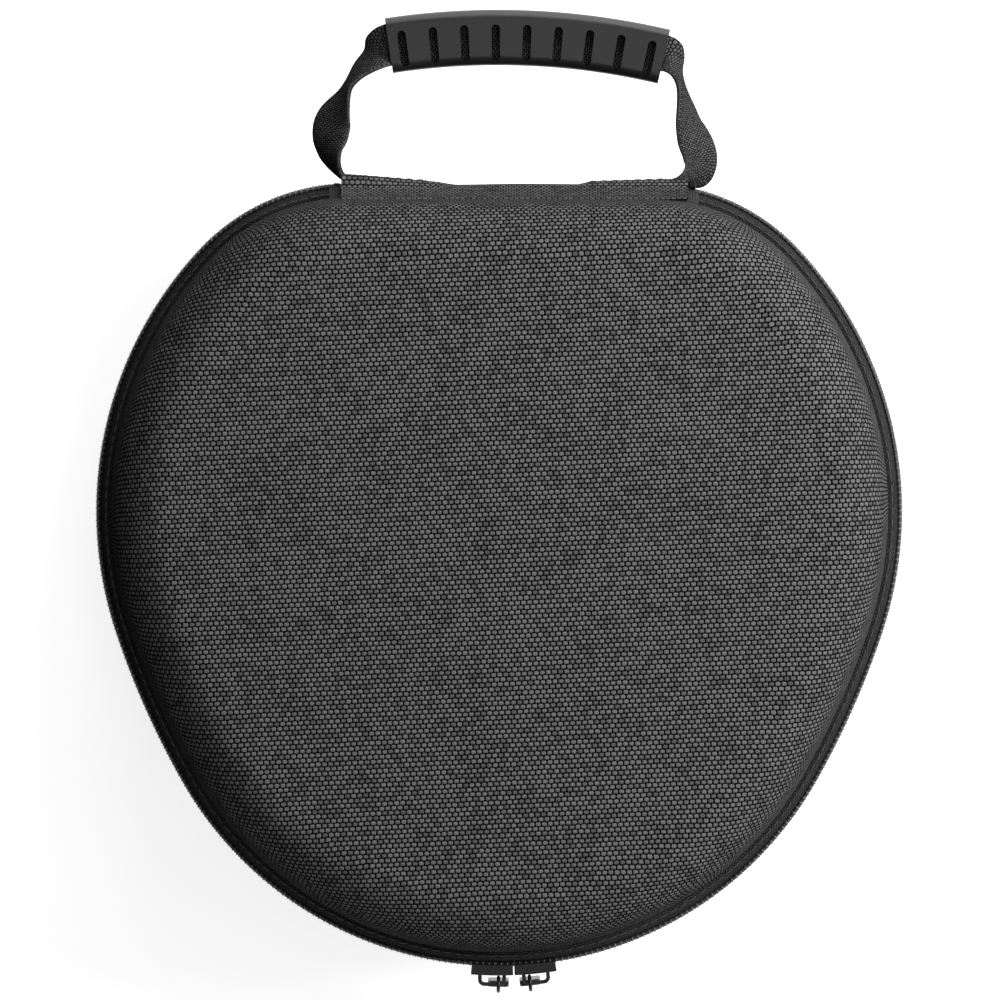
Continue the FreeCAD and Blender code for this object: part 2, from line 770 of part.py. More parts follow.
def slider_body(side):
    """Outer wing with its flanges, thin post and inner wing, turned along the front arc.

    The section is drawn at the front of the case, where outwards is -Y.
    """
    face = "front_radius + wing_gap"
    back = f"{face} + wing_thick"
    tip = f"{face} - flange_reach"
    inner = "front_radius - inner_wing_inset"
    core = f"{inner} - inner_wing_thick"
    half = "wing_half_width"
    flange = "wing_half_width - flange_thick"
    post = "post_half_thick"
    wing = "inner_wing_half_width"
    upper = [(back, half), (tip, half), (tip, flange), (face, flange), (face, post), (inner, post), (inner, wing)]
    upper.append((core, wing))
    corners = [(f"0 - ({reach})", rise) for reach, rise in upper]
    corners += [(f"0 - ({reach})", f"0 - ({rise})") for reach, rise in reversed(upper)]
    body = new_body(f"slider_{side}")
    section = polygon(body, f"slider_{side}_section", "YZ_Plane", corners)
    doc.recompute()
    turned = body.newObject("PartDesign::Revolution", f"slider_{side}_sweep")
    turned.Profile = section
    turned.ReferenceAxis = (section, ["V_Axis"])
    turned.Midplane = True
    bind(turned, "Angle", "2 * slider_half_angle")
    keep(body, f"slider_{side}_body", slider_seat(side))


def slider_crown(side):
    """The bow over the outer wing that holds the pull, with its two feet in the wing."""
    foot = "0 - (front_radius + wing_gap + wing_thick - bow_bar / 2)"
    top = "0 - (front_radius + wing_gap + wing_thick + bow_rise)"
    under = f"{top} + bow_bar"
    half = "bow_length / 2"
    hole = "bow_length / 2 - bow_bar"
    corners = [
        (f"0 - ({half})", foot),
        (f"0 - ({half})", top),
        (half, top),
        (half, foot),
        (hole, foot),
        (hole, under),
        (f"0 - ({hole})", under),
        (f"0 - ({hole})", foot),
    ]
    body = new_body(f"crown_{side}")
    section = polygon(body, f"crown_{side}_section", "XY_Plane", corners)
    bow = pad(body, section, f"crown_{side}_pad", "bow_width", both_ways=True)
    top_line = size(top)
    under_line = size(under)
    outer = round_edges(body, bow, f"crown_{side}_outside", "bow_round", lambda point: abs(point.y - top_line) < 0.01)
    doc.recompute()
    outer.Base = (bow, [name for name in outer.Base[1] if is_upright(bow.Shape, name)])
    doc.recompute()
    inner = round_edges(
        body, outer, f"crown_{side}_inside", "bow_round - bow_bar", lambda point: abs(point.y - under_line) < 0.01
    )
    inner.Base = (outer, [name for name in inner.Base[1] if is_upright(outer.Shape, name)])
    keep(body, f"slider_{side}_crown", slider_seat(side))


def is_upright(shape, name):
    """Whether an edge runs along Z."""
    return shape.getElement(name).BoundBox.ZLength > 0.5 * size("bow_width")


def slider_pull(side):
    """A wire eye round the bow's bar with a flat tab that hangs from it."""
    bar = "front_radius + wing_gap + wing_thick + bow_rise - bow_bar / 2"
    toward_nose = -1 if side == "right" else 1
    across = toward_nose * size("eye_offset")
    eye = doc.addObject("Part::Torus", f"eye_{side}")
    bind(eye, "Radius1", "eye_radius")
    bind(eye, "Radius2", "eye_wire")
    eye.Placement = Placement(Vector(across, -size(bar), 0), Rotation(Vector(0, 1, 0), 90))
    tab = new_body(f"tab_{side}")
    low = ("0 - tab_width / 2", "0 - tab_length")
    outline = rectangle(tab, f"tab_{side}_outline", "XZ_Plane", low, ("tab_width / 2", "0"))
    plate = pad(tab, outline, f"tab_{side}_pad", "tab_thick", both_ways=True)
    limit = size("tab_width")
    corner = round_edges(tab, plate, f"tab_{side}_round", "tab_round", lambda point: abs(point.x) < limit)
    doc.recompute()
    corner.Base = (plate, [name for name in corner.Base[1] if is_across(plate.Shape, name)])
    tab.Placement = Placement(Vector(across, -size(bar), -size("eye_radius")), Rotation())
    joined = doc.addObject("Part::Fuse", f"pull_{side}")
    joined.Base = eye
    joined.Tool = tab
    keep(joined, f"pull_{side}", slider_seat(side))


def is_across(shape, name):
    """Whether an edge runs through the tab's thickness."""
    return shape.getElement(name).BoundBox.YLength > 0.5 * size("tab_thick")


# ---- fittings inside ----


def headphone_cradle():
    """The foam block on the base's floor that the ear cups stand beside."""
    body = new_body("cradle")
    half = "cradle_length / 2"
    low = (f"0 - {half}", "cradle_along - cradle_width / 2")
    high = (half, "cradle_along + cradle_width / 2")
    outline = rectangle(body, "cradle_outline", "XY_Plane", low, high)
    block = pad(body, outline, "cradle_block", "cradle_height")
    upright = round_edges(body, block, "cradle_corners", "cradle_width / 2 - 1", lambda point: True)
    doc.recompute()
    upright.Base = (block, [name for name in upright.Base[1] if runs_up(block.Shape, name)])
    doc.recompute()
    top = size("cradle_height")
    round_edges(body, upright, "cradle_top", "cradle_round", lambda point: abs(point.z - top) < 0.01)
    floor = Vector(0, 0, size(SHELL))
    keep(body, "headphone_cradle", Placement(floor, Rotation()))


def runs_up(shape, name):
    """Whether an edge of the cradle block runs straight up."""
    return shape.getElement(name).BoundBox.ZLength > size("cradle_height") / 2


def accessory_pocket():
    """A net across the front of the lid with an elastic hem along its mouth."""
    body = new_body("net")
    outline = draw_outline(body, "net_outline", "net_inset", size("net_rise"))
    pad(body, outline, "net_sheet", "net_thick")
    doc.recompute()
    low = ("0 - side_radius - side_across", "net_mouth")
    high = ("side_radius + side_across", "back_edge")
    window = rectangle(body, "net_window", "XY_Plane", low, high)
    doc.recompute()
    mouth = body.newObject("PartDesign::Pocket", "net_mouth")
    mouth.Profile = window
    mouth.Midplane = True
    bind(mouth, "Length", "4 * net_rise")
    keep(body, "accessory_net", LID_SEAT)
    hem = doc.addObject("Part::Box", "net_hem_block")
    bind(hem, "Length", "2 * side_radius")
    bind(hem, "Width", "hem_width")
    bind(hem, "Height", "hem_thick")
    hem_low = Vector(-size("side_radius"), size("net_mouth"), size("net_rise"))
    hem.Placement = Placement(hem_low, Rotation())
    room = new_body("hem_room")
    room_outline = draw_outline(room, "hem_outline", "net_inset", size("net_rise"))
    pad(room, room_outline, "hem_sheet", "hem_thick")
    trimmed = doc.addObject("Part::Common", "net_hem_trim")
    trimmed.Base = hem
    trimmed.Tool = room
    keep(trimmed, "accessory_net_hem", LID_SEAT)


# ---- build, check and write ----


def check(item):
    """Stop if an object of the document failed or a sub-part isn't one or more valid solids."""
    broken = {"Invalid", "Error"} & set(item.State)
    if broken:
        raise RuntimeError(f"{item.Label} failed: {item.State}")
    if item in parts and (item.Shape.isNull() or not item.Shape.isValid() or not item.Shape.Solids):
        raise RuntimeError(f"{item.Label} has no valid solid")


def build():
    for half in ("base", "lid"):
        shell_layers(half)
        rim_pieces(half)
    zip_stops()
    fabric_hinge()
    strap_tails()
    strap_legs()
    grip()
    for side in ("left", "right"):
        slider_body(side)
        slider_crown(side)
        slider_pull(side)
    headphone_cradle()
    accessory_pocket()
    doc.recompute()


def write():
    for item in doc.Objects:
        check(item)
    os.makedirs("parts", exist_ok=True)
    for item in parts:
        item.Shape.exportStep(f"parts/{item.Label}.step")
        print(f"{item.Label:22} {item.Shape.Volume:12.1f} mm3 {len(item.Shape.Solids)} solid")


build()
write()
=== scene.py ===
"""Looks of a hard-shell headphone carrying case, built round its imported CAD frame.

Every measure is in metres in the CAD frame: the case lies on its base, +Z is up, the sliders of
the zip are towards -Y, and the fabric hinge and the handle are towards +Y.
"""

import logging
import math
from dataclasses import dataclass
from enum import Enum
from typing import Callable, Iterable

import bmesh
import bpy
from mathutils import Matrix, Vector
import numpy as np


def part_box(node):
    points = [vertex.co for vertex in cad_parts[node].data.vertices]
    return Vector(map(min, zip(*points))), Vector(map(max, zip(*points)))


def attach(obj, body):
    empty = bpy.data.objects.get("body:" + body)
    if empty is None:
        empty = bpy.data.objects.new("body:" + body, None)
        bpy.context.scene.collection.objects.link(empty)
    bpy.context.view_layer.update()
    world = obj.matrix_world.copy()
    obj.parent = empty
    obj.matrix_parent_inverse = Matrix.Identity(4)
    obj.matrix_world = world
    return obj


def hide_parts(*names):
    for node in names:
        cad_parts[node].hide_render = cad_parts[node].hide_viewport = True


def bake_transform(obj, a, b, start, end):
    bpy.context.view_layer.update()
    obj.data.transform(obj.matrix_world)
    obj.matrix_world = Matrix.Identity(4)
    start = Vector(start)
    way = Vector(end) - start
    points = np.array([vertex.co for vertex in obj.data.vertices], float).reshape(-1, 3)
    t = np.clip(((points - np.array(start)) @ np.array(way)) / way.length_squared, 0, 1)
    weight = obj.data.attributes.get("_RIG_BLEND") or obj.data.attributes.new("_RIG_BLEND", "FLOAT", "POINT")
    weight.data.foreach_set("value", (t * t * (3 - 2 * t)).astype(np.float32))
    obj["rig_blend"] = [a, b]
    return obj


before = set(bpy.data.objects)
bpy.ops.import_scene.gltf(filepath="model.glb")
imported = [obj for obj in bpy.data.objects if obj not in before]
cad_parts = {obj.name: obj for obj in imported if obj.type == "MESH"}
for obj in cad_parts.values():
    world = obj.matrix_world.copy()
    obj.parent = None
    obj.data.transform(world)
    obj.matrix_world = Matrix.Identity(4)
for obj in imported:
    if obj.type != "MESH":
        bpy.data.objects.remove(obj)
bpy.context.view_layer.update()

log = logging.getLogger("headphone_case")

MM = 0.001
PARTING = 48 * MM
UP = Vector((0, 0, 1))
TINY = 1e-6

Colour = tuple[float, float, float, float]
Section = list[tuple[float, float]]


class Half(Enum):
    """The two halves of the case. The value is the side of the parting plane that it rises to."""

    LID = 1
    BASE = -1

    @property
    def body(self) -> str:
        """The CAD body that this half's pieces ride on."""
        return self.name.lower()

    def height(self, rise: float) -> float:
        """The height above the floor at a rise from the parting plane."""
        return PARTING + self.value * rise


class Side(Enum):
    """The left and the right of the case, as seen from above with the hinge at the top."""

    LEFT = -1
    RIGHT = 1

    @property
    def word(self) -> str:
        """The side as it stands in node and body names."""
        return self.name.lower()


# ---- node groups and finishes ----


class Graph:
    """Adds nodes to one shader tree and links them."""

    def __init__(self, tree: bpy.types.NodeTree) -> None:
        """Keep the tree that the nodes go into."""
        self.tree = tree

    def add(self, kind: str, **settings: object) -> bpy.types.Node:
        """Add a node and set its properties."""
        node = self.tree.nodes.new(kind)
        for name, value in settings.items():
            setattr(node, name, value)
        return node

    def feed(self, socket: bpy.types.NodeSocket, value: object) -> None:
        """Link a socket to another node's output, or set its constant."""
        if isinstance(value, bpy.types.NodeSocket):
            self.tree.links.new(value, socket)
        else:
            socket.default_value = value

    def math(self, operation: str, *values: object) -> bpy.types.NodeSocket:
        """A Math node on sockets and numbers; the answer is its output."""
        node = self.add("ShaderNodeMath", operation=operation)
        for socket, value in zip(node.inputs, values):
            self.feed(socket, value)
        return node.outputs[0]

    def smooth(self, value: object, low: float, high: float) -> bpy.types.NodeSocket:
        """A smooth step from 0 at low to 1 at high."""
        node = self.add("ShaderNodeMapRange", interpolation_type="SMOOTHSTEP")
        self.feed(node.inputs["Value"], value)
        self.feed(node.inputs["From Min"], low)
        self.feed(node.inputs["From Max"], high)
        return node.outputs["Result"]

    def blend(self, factor: object, low: object, high: object) -> bpy.types.NodeSocket:
        """A colour between two by a factor."""
        node = self.add("ShaderNodeMix", data_type="RGBA")
        self.feed(node.inputs[0], factor)
        self.feed(node.inputs[6], low)
        self.feed(node.inputs[7], high)
        return node.outputs[2]

    def noise(self, vector: object, scale: float, detail: float = 2.0) -> bpy.types.NodeSocket:
        """Smooth noise from 0 to 1."""
        node = self.add("ShaderNodeTexNoise")
        self.feed(node.inputs["Vector"], vector)
        self.feed(node.inputs["Scale"], scale)
        self.feed(node.inputs["Detail"], detail)
        return node.outputs[0]

    def place(self, group: bpy.types.NodeTree, **inputs: object) -> bpy.types.Node:
        """Add a node group and feed its inputs, whose names have underscores here for spaces."""
        node = self.add("ShaderNodeGroup", node_tree=group)
        for name, value in inputs.items():
            self.feed(node.inputs[name.replace("_", " ")], value)
        return node


class Effects:
    """The node groups that several finishes share, each built once."""

    @staticmethod
    def group(
        name: str, inputs: dict[str, str], outputs: Iterable[str]
    ) -> tuple[Graph, bpy.types.Node, bpy.types.Node]:
        """A new empty group with named sockets.

        Args:
            name: The group's name.
            inputs: Socket types by input name.
            outputs: The names of the outputs, which are all values.

        Returns:
            The group's graph, its input node and its output node.
        """
        tree = bpy.data.node_groups.new(name, "ShaderNodeTree")
        for label, kind in inputs.items():
            tree.interface.new_socket(label, in_out="INPUT", socket_type=kind)
        for label in outputs:
            tree.interface.new_socket(label, in_out="OUTPUT", socket_type="NodeSocketFloat")
        graph = Graph(tree)
        return graph, graph.add("NodeGroupInput"), graph.add("NodeGroupOutput")

    @classmethod
    def plain_weave(cls) -> bpy.types.NodeTree:
        """Plain weave: each thread passes over one and under the next.

        Returns:
            A group that puts out the cloth's Height, a Weft mask that is 1 where a crossing thread
            lies on top, and a Tone that differs from one crossing to the next.
        """
        name = "plain_weave"
        if name in bpy.data.node_groups:
            return bpy.data.node_groups[name]
        sockets = {
            "Vector": "NodeSocketVector",
            "Warp Pitch": "NodeSocketFloat",
            "Weft Pitch": "NodeSocketFloat",
            "Wander": "NodeSocketFloat",
        }
        graph, given, out = cls.group(name, sockets, ("Height", "Weft", "Tone"))
        parts = graph.add("ShaderNodeSeparateXYZ")
        graph.feed(parts.inputs[0], given.outputs["Vector"])
        drift = graph.math("SUBTRACT", graph.noise(given.outputs["Vector"], 260.0), 0.5)
        drift = graph.math("MULTIPLY", drift, given.outputs["Wander"])
        across = graph.math("ADD", graph.math("DIVIDE", parts.outputs[0], given.outputs["Warp Pitch"]), drift)
        along = graph.math("SUBTRACT", graph.math("DIVIDE", parts.outputs[1], given.outputs["Weft Pitch"]), drift)
        warp_number = graph.math("FLOOR", across)
        weft_number = graph.math("FLOOR", along)

        def wave(value: object) -> bpy.types.NodeSocket:
            """The sine of half a turn for each thread."""
            return graph.math("SINE", graph.math("MULTIPLY", value, math.pi))

        warp_rise = graph.math("MULTIPLY", wave(graph.math("ADD", along, warp_number)), 0.5)
        phase = graph.math("ADD", across, weft_number)
        dive = graph.math("MULTIPLY", wave(phase), -1.0)
        weft_rise = graph.math("SUBTRACT", graph.smooth(dive, -1.2, -0.2), 0.5)
        warp = graph.math("ADD", warp_rise, graph.math("POWER", graph.math("ABSOLUTE", wave(across)), 0.6))
        weft = graph.math("ADD", weft_rise, graph.math("POWER", graph.math("ABSOLUTE", wave(along)), 0.8))
        weft = graph.math("ADD", weft, 0.5)
        height = graph.math("DIVIDE", graph.math("MAXIMUM", warp, weft), 2.0)
        cell = graph.add("ShaderNodeCombineXYZ")
        float_number = graph.math("FLOOR", graph.math("MULTIPLY_ADD", phase, 0.5, -0.25))
        graph.feed(cell.inputs[0], float_number)
        graph.feed(cell.inputs[1], weft_number)
        speckle = graph.add("ShaderNodeTexWhiteNoise", noise_dimensions="2D")
        graph.feed(speckle.inputs["Vector"], cell.outputs[0])
        graph.feed(out.inputs["Height"], height)
        graph.feed(out.inputs["Weft"], graph.smooth(graph.math("SUBTRACT", weft, warp), -0.12, 0.12))
        graph.feed(out.inputs["Tone"], speckle.outputs["Value"])
        return graph.tree

    @classmethod
    def grain(cls) -> bpy.types.NodeTree:
        """Uneven grain of foam, rubber, nap or cast metal.

        Returns:
            A group that puts out a fine Height and a broad Tone.
        """
        name = "grain"
        if name in bpy.data.node_groups:
            return bpy.data.node_groups[name]
        sockets = {"Vector": "NodeSocketVector", "Size": "NodeSocketFloat"}
        graph, given, out = cls.group(name, sockets, ("Height", "Tone"))
        scale = graph.math("DIVIDE", 1.0, given.outputs["Size"])
        fine = graph.noise(given.outputs["Vector"], scale, 4.0)
        broad = graph.noise(given.outputs["Vector"], 42.0, 3.0)
        graph.feed(out.inputs["Height"], fine)
        graph.feed(out.inputs["Tone"], broad)
        return graph.tree


@dataclass(frozen=True)
class Finish:
    """A grained finish, and what every other finish adds to: colours, gloss and relief."""

    slot: str
    shade: float
    light: float
    roughness: float
    relief: float = 0.05 * MM
    grain_size: float = 0.5 * MM
    tint: tuple[float, float, float] = (1.0, 1.0, 1.0)
    metallic: float = 0.0
    sheen: float = 0.0
    specular: float = 0.5

    def colour(self, level: float) -> Colour:
        """A grey level with the finish's tint."""
        red, green, blue = (level * part for part in self.tint)
        return (red, green, blue, 1.0)

    def surface(self, graph: Graph) -> tuple[bpy.types.NodeSocket, bpy.types.NodeSocket, bpy.types.NodeSocket]:
        """The pattern of this finish.

        Returns:
            The height, the share of light colour, and the share of extra roughness, each 0 to 1.
        """
        place = graph.add("ShaderNodeTexCoord").outputs["Object"]
        grain = graph.place(Effects.grain(), Vector=place, Size=self.grain_size)
        broad = graph.math("MULTIPLY", grain.outputs["Tone"], 0.6)
        level = graph.math("ADD", broad, graph.math("MULTIPLY", grain.outputs["Height"], 0.4))
        return grain.outputs["Height"], graph.smooth(level, 0.25, 0.75), grain.outputs["Tone"]

    def finish_off(self, graph: Graph, shader: bpy.types.Node) -> None:
        """Add what only some finishes have; a plain finish has nothing more."""

    def material(self) -> bpy.types.Material:
        """The material of this finish, made once."""
        name = f"{self.slot}_finish"
        if name in bpy.data.materials:
            return bpy.data.materials[name]
        material = bpy.data.materials.new(name)
        material.use_nodes = True
        graph = Graph(material.node_tree)
        shader = graph.tree.nodes["Principled BSDF"]
        height, level, rough = self.surface(graph)
        graph.feed(shader.inputs["Base Color"], graph.blend(level, self.colour(self.shade), self.colour(self.light)))
        spread = graph.math("MULTIPLY_ADD", rough, 0.16, self.roughness - 0.08)
        graph.feed(shader.inputs["Roughness"], spread)
        shader.inputs["Metallic"].default_value = self.metallic
        shader.inputs["Specular IOR Level"].default_value = self.specular
        shader.inputs["Sheen Weight"].default_value = self.sheen
        shader.inputs["Sheen Roughness"].default_value = 0.45
        bump = graph.add("ShaderNodeBump")
        bump.inputs["Strength"].default_value = 1.0
        bump.inputs["Distance"].default_value = self.relief
        graph.feed(bump.inputs["Height"], height)
        graph.feed(shader.inputs["Normal"], bump.outputs["Normal"])
        self.finish_off(graph, shader)
        return material


@dataclass(frozen=True)
class Woven(Finish):
    """A woven finish on the piece's own cloth UV map, which is in metres, with painted shade and painted sheen on
    its threads.
    """

    warp_pitch: float = 0.78 * MM
    weft_pitch: float = 1.21 * MM
    wander: float = 0.3
    turn: float = 0.0
    # Painted sheen: how much lighter the weft floats are coloured than the warp floats.
    weft_painted_sheen: float = 0.6
    broken: float = 0.5

    def surface(self, graph: Graph) -> tuple[bpy.types.NodeSocket, bpy.types.NodeSocket, bpy.types.NodeSocket]:
        """Threads with painted light along their crowns, painted shade where they dive, a painted sheen on the weft
        floats, and tone that varies a little at random.
        """
        place = graph.add("ShaderNodeUVMap", uv_map="cloth").outputs["UV"]
        turned = graph.add("ShaderNodeMapping")
        graph.feed(turned.inputs["Vector"], place)
        turned.inputs["Rotation"].default_value = (0.0, 0.0, math.radians(-self.turn))
        weave = graph.place(
            Effects.plain_weave(),
            Vector=turned.outputs["Vector"],
            Warp_Pitch=self.warp_pitch,
            Weft_Pitch=self.weft_pitch,
            Wander=self.wander,
        )
        grain = graph.place(Effects.grain(), Vector=turned.outputs["Vector"], Size=self.grain_size)
        # Painted light and shade: the colour lightens along each thread's crown and darkens where it dives between
        # threads, as light and occlusion would make it.
        crown = graph.smooth(weave.outputs["Height"], 0.52, 1.0)
        # Painted sheen: the weft floats are coloured lighter than the warp floats, standing in for the nylon's gloss
        # under the key light.
        painted_weft_sheen = graph.math("MULTIPLY_ADD", weave.outputs["Weft"], self.weft_painted_sheen, 1.0 - self.weft_painted_sheen)
        tone = graph.math("MULTIPLY_ADD", weave.outputs["Tone"], self.broken, 1.0 - self.broken / 2)
        level = graph.math("MULTIPLY", graph.math("MULTIPLY", crown, painted_weft_sheen), tone)
        level = graph.math("MULTIPLY", level, graph.math("MULTIPLY_ADD", grain.outputs["Height"], 1.2, 0.4))
        # Broad random patches of lighter and darker tone across the cloth, up to a quarter either way.
        broad_tone = graph.math("MULTIPLY_ADD", grain.outputs["Tone"], 0.5, 0.75)
        return weave.outputs["Height"], graph.math("MULTIPLY", level, broad_tone), grain.outputs["Height"]


@dataclass(frozen=True)
class Netting(Finish):
    """An open knitted net: round holes in staggered rows on the piece's own cloth UV map."""

    cell: float = 2.6 * MM

    def holes(self, graph: Graph) -> bpy.types.NodeSocket:
        """A value that is 0 in the middle of a hole and grows towards the yarn."""
        place = graph.add("ShaderNodeUVMap", uv_map="cloth").outputs["UV"]
        cells = graph.add("ShaderNodeTexVoronoi", voronoi_dimensions="2D")
        cells.inputs["Randomness"].default_value = 0.12
        graph.feed(cells.inputs["Vector"], place)
        graph.feed(cells.inputs["Scale"], 1.0 / self.cell)
        return cells.outputs["Distance"]

    def surface(self, graph: Graph) -> tuple[bpy.types.NodeSocket, bpy.types.NodeSocket, bpy.types.NodeSocket]:
        """Yarn that is high along its middle."""
        yarn = graph.smooth(self.holes(graph), 0.3, 0.5)
        return yarn, yarn, yarn

    def finish_off(self, graph: Graph, shader: bpy.types.Node) -> None:
        """Open the holes."""
        graph.feed(shader.inputs["Alpha"], graph.smooth(self.holes(graph), 0.33, 0.37))


# Every woven finish below carries painted shade in the dips of its weave and a painted sheen on its weft floats.
COVER_CLOTH = Woven(
    "woven_cover", 0.002, 0.185, 0.62, relief=0.45 * MM, grain_size=0.3 * MM, turn=3.0, specular=0.0, broken=0.8,
    weft_painted_sheen=0.85
)
TAPE_CLOTH = Woven(
    "zip_tape", 0.006, 0.075, 0.7, relief=0.1 * MM, warp_pitch=0.55 * MM, weft_pitch=0.5 * MM, weft_painted_sheen=0.3,
    specular=0.0
)
HINGE_CLOTH = Woven(
    "hinge_cloth", 0.003, 0.17, 0.66, relief=0.35 * MM, warp_pitch=0.7 * MM, weft_pitch=0.8 * MM, specular=0.0,
    broken=0.8
)
WEBBING = Woven(
    "strap_webbing", 0.003, 0.12, 0.6, relief=0.22 * MM, warp_pitch=0.62 * MM, weft_pitch=0.5 * MM, weft_painted_sheen=0.5,
    specular=0.0, broken=0.8
)
BINDING = Woven("binding_tape", 0.006, 0.05, 0.6, relief=0.12 * MM, warp_pitch=2.2 * MM, weft_pitch=0.7 * MM)
HEM_CLOTH = Woven("elastic_hem", 0.006, 0.05, 0.7, relief=0.15 * MM, warp_pitch=0.9 * MM, weft_pitch=1.6 * MM)
NETTING = Netting("pocket_net", 0.01, 0.05, 0.7, relief=0.2 * MM)
KNIT = Finish("lining_cloth", 0.018, 0.05, 0.9, relief=0.12 * MM, grain_size=0.7 * MM, sheen=0.25)
CRADLE_CLOTH = Finish("cradle_cloth", 0.014, 0.045, 0.88, relief=0.15 * MM, grain_size=0.6 * MM, sheen=0.3)
FOAM = Finish("eva_core", 0.02, 0.045, 0.85, relief=0.1 * MM, grain_size=0.9 * MM)
# The coil's light level is far above black plastic: painted highlight standing in for the glints on its teeth,
# spread at random by the grain. Its gloss is real.
COIL = Finish("zip_coil", 0.05, 0.22, 0.26, relief=0.02 * MM, grain_size=0.4 * MM, specular=0.8)
THREAD = Finish("sewing_thread", 0.008, 0.05, 0.5, relief=0.05 * MM, grain_size=0.25 * MM)
RUBBER = Finish(
    "grip_rubber", 0.005, 0.011, 0.4, relief=0.03 * MM, grain_size=0.35 * MM, tint=(0.96, 1.0, 1.1), specular=0.8
)
CASTING = Finish("slider_metal", 0.008, 0.03, 0.3, relief=0.04 * MM, grain_size=0.5 * MM, metallic=0.3)


# ---- making and keeping pieces ----


def loose_mesh(name: str, bm: bmesh.types.BMesh, finish: Finish, sharp: float = 50.0) -> bpy.types.Object:
    """Turn a finished bmesh into an object at the origin.

    Args:
        name: The piece's name.
        bm: Its shape, which is freed.
        finish: What it is made of.
        sharp: Edges that turn by more than this many degrees stay sharp.

    Returns:
        The new object.
    """
    mesh = bpy.data.meshes.new(name)
    for face in bm.faces:
        face.smooth = True
    bm.to_mesh(mesh)
    bm.free()
    mesh.set_sharp_from_angle(angle=math.radians(sharp))
    mesh.materials.append(finish.material())
    piece = bpy.data.objects.new(name, mesh)
    bpy.context.scene.collection.objects.link(piece)
    return piece


def report(piece: bpy.types.Object, nodes: Iterable[str]) -> None:
    """Log a finished piece, its size in faces and the CAD nodes it stands for."""
    log.info("%-24s %6d faces, for %s", piece.name, len(piece.data.polygons), ", ".join(nodes) or "detail only")


def riding(piece: bpy.types.Object, body: str, *nodes: str) -> bpy.types.Object:
    """Let a piece ride on a body in place of CAD nodes."""
    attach(piece, body)
    if nodes:
        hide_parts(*nodes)
    report(piece, nodes)
    return piece


def bending(
    piece: bpy.types.Object, bodies: tuple[str, str], start: Vector, end: Vector, *nodes: str
) -> bpy.types.Object:
    """Let a piece bend between two bodies in place of CAD nodes."""
    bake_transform(piece, *bodies, start=tuple(start), end=tuple(end))
    if nodes:
        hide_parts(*nodes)
    report(piece, nodes)
    return piece


def outwards(bm: bmesh.types.BMesh, probe: Callable[[bmesh.types.BMFace], float] | None = None) -> None:
    """Merge doubles and point the faces outwards.

    Args:
        bm: The shape.
        probe: For an open sheet, a number above 0 where a face points the right way.
    """
    bmesh.ops.remove_doubles(bm, verts=bm.verts, dist=TINY)
    bmesh.ops.recalc_face_normals(bm, faces=bm.faces)
    if probe and sum(probe(face) * face.calc_area() for face in bm.faces) < 0:
        bmesh.ops.reverse_faces(bm, faces=bm.faces)


def thicken(piece: bpy.types.Object, depth: float) -> None:
    """Give a sheet its thickness inwards."""
    wall = piece.modifiers.new("thickness", "SOLIDIFY")
    wall.thickness = depth
    wall.offset = -1.0
    wall.use_even_offset = True


def cloth_map(
    bm: bmesh.types.BMesh, spot: Callable[[bmesh.types.BMVert], tuple[float, float]], girth: float = 0.0
) -> None:
    """Give a shape its cloth UV map, in metres.

    Args:
        bm: The shape.
        spot: Each vertex's place in the cloth.
        girth: The length after which the first measure starts again at 0, if it does.
    """
    layer = bm.loops.layers.uv.new("cloth")
    for face in bm.faces:
        spots = [spot(loop.vert) for loop in face.loops]
        high = max(across for across, _ in spots)
        for loop, (across, along) in zip(face.loops, spots):
            if girth and high - across > girth / 2:
                across += girth
            loop[layer].uv = (across, along)


def softened(node: str, name: str, finish: Finish, width: float) -> bpy.types.Object:
    """A merged copy of a CAD node with small rounds on its sharp edges.

    Args:
        node: The CAD node.
        name: The new piece's name.
        finish: What it is made of.
        width: The width of the rounds.

    Returns:
        The new object.
    """
    bm = bmesh.new()
    bm.from_mesh(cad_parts[node].data)
    bmesh.ops.remove_doubles(bm, verts=bm.verts, dist=TINY)
    bmesh.ops.dissolve_limit(bm, angle_limit=math.radians(0.6), verts=bm.verts, edges=bm.edges)
    sharp = [edge for edge in bm.edges if edge.is_manifold and edge.calc_face_angle(0.0) > math.radians(32)]
    bmesh.ops.bevel(
        bm, geom=sharp, offset=width, segments=2, profile=0.5, affect="EDGES", clamp_overlap=True, material=-1
    )
    piece = loose_mesh(name, bm, finish, 60.0)
    piece.modifiers.new("even_shading", "WEIGHTED_NORMAL").keep_sharp = True
    return piece


def repeated(bm: bmesh.types.BMesh, places: Iterable[Matrix]) -> None:
    """Put copies of a small shape at many places, and remove the first one."""
    first = list(bm.verts) + list(bm.edges) + list(bm.faces)
    for place in places:
        copied = bmesh.ops.duplicate(bm, geom=first)["geom"]
        moved = [item for item in copied if isinstance(item, bmesh.types.BMVert)]
        bmesh.ops.transform(bm, matrix=place, verts=moved)
    bmesh.ops.delete(bm, geom=[item for item in first if isinstance(item, bmesh.types.BMVert)], context="VERTS")


def sewn(name: str, size: tuple[float, float, float], places: Iterable[Matrix]) -> bpy.types.Object:
    """Copies of one thread, an ellipsoid of a size, at many places."""
    bm = bmesh.new()
    bmesh.ops.create_icosphere(bm, subdivisions=2, radius=0.5)
    bmesh.ops.scale(bm, vec=size, verts=bm.verts)
    repeated(bm, places)
    return loose_mesh(name, bm, THREAD, 80.0)


def turned_to(run: Vector, up: Vector, place: Vector) -> Matrix:
    """A frame with X along a run and Z as near as can be to up, at a place."""
    run = run.normalized()
    across = up.cross(run).normalized()
    frame_axes = Matrix((run, across, run.cross(across))).transposed()
    return Matrix.Translation(place) @ frame_axes.to_4x4()


# ---- the plan outline ----


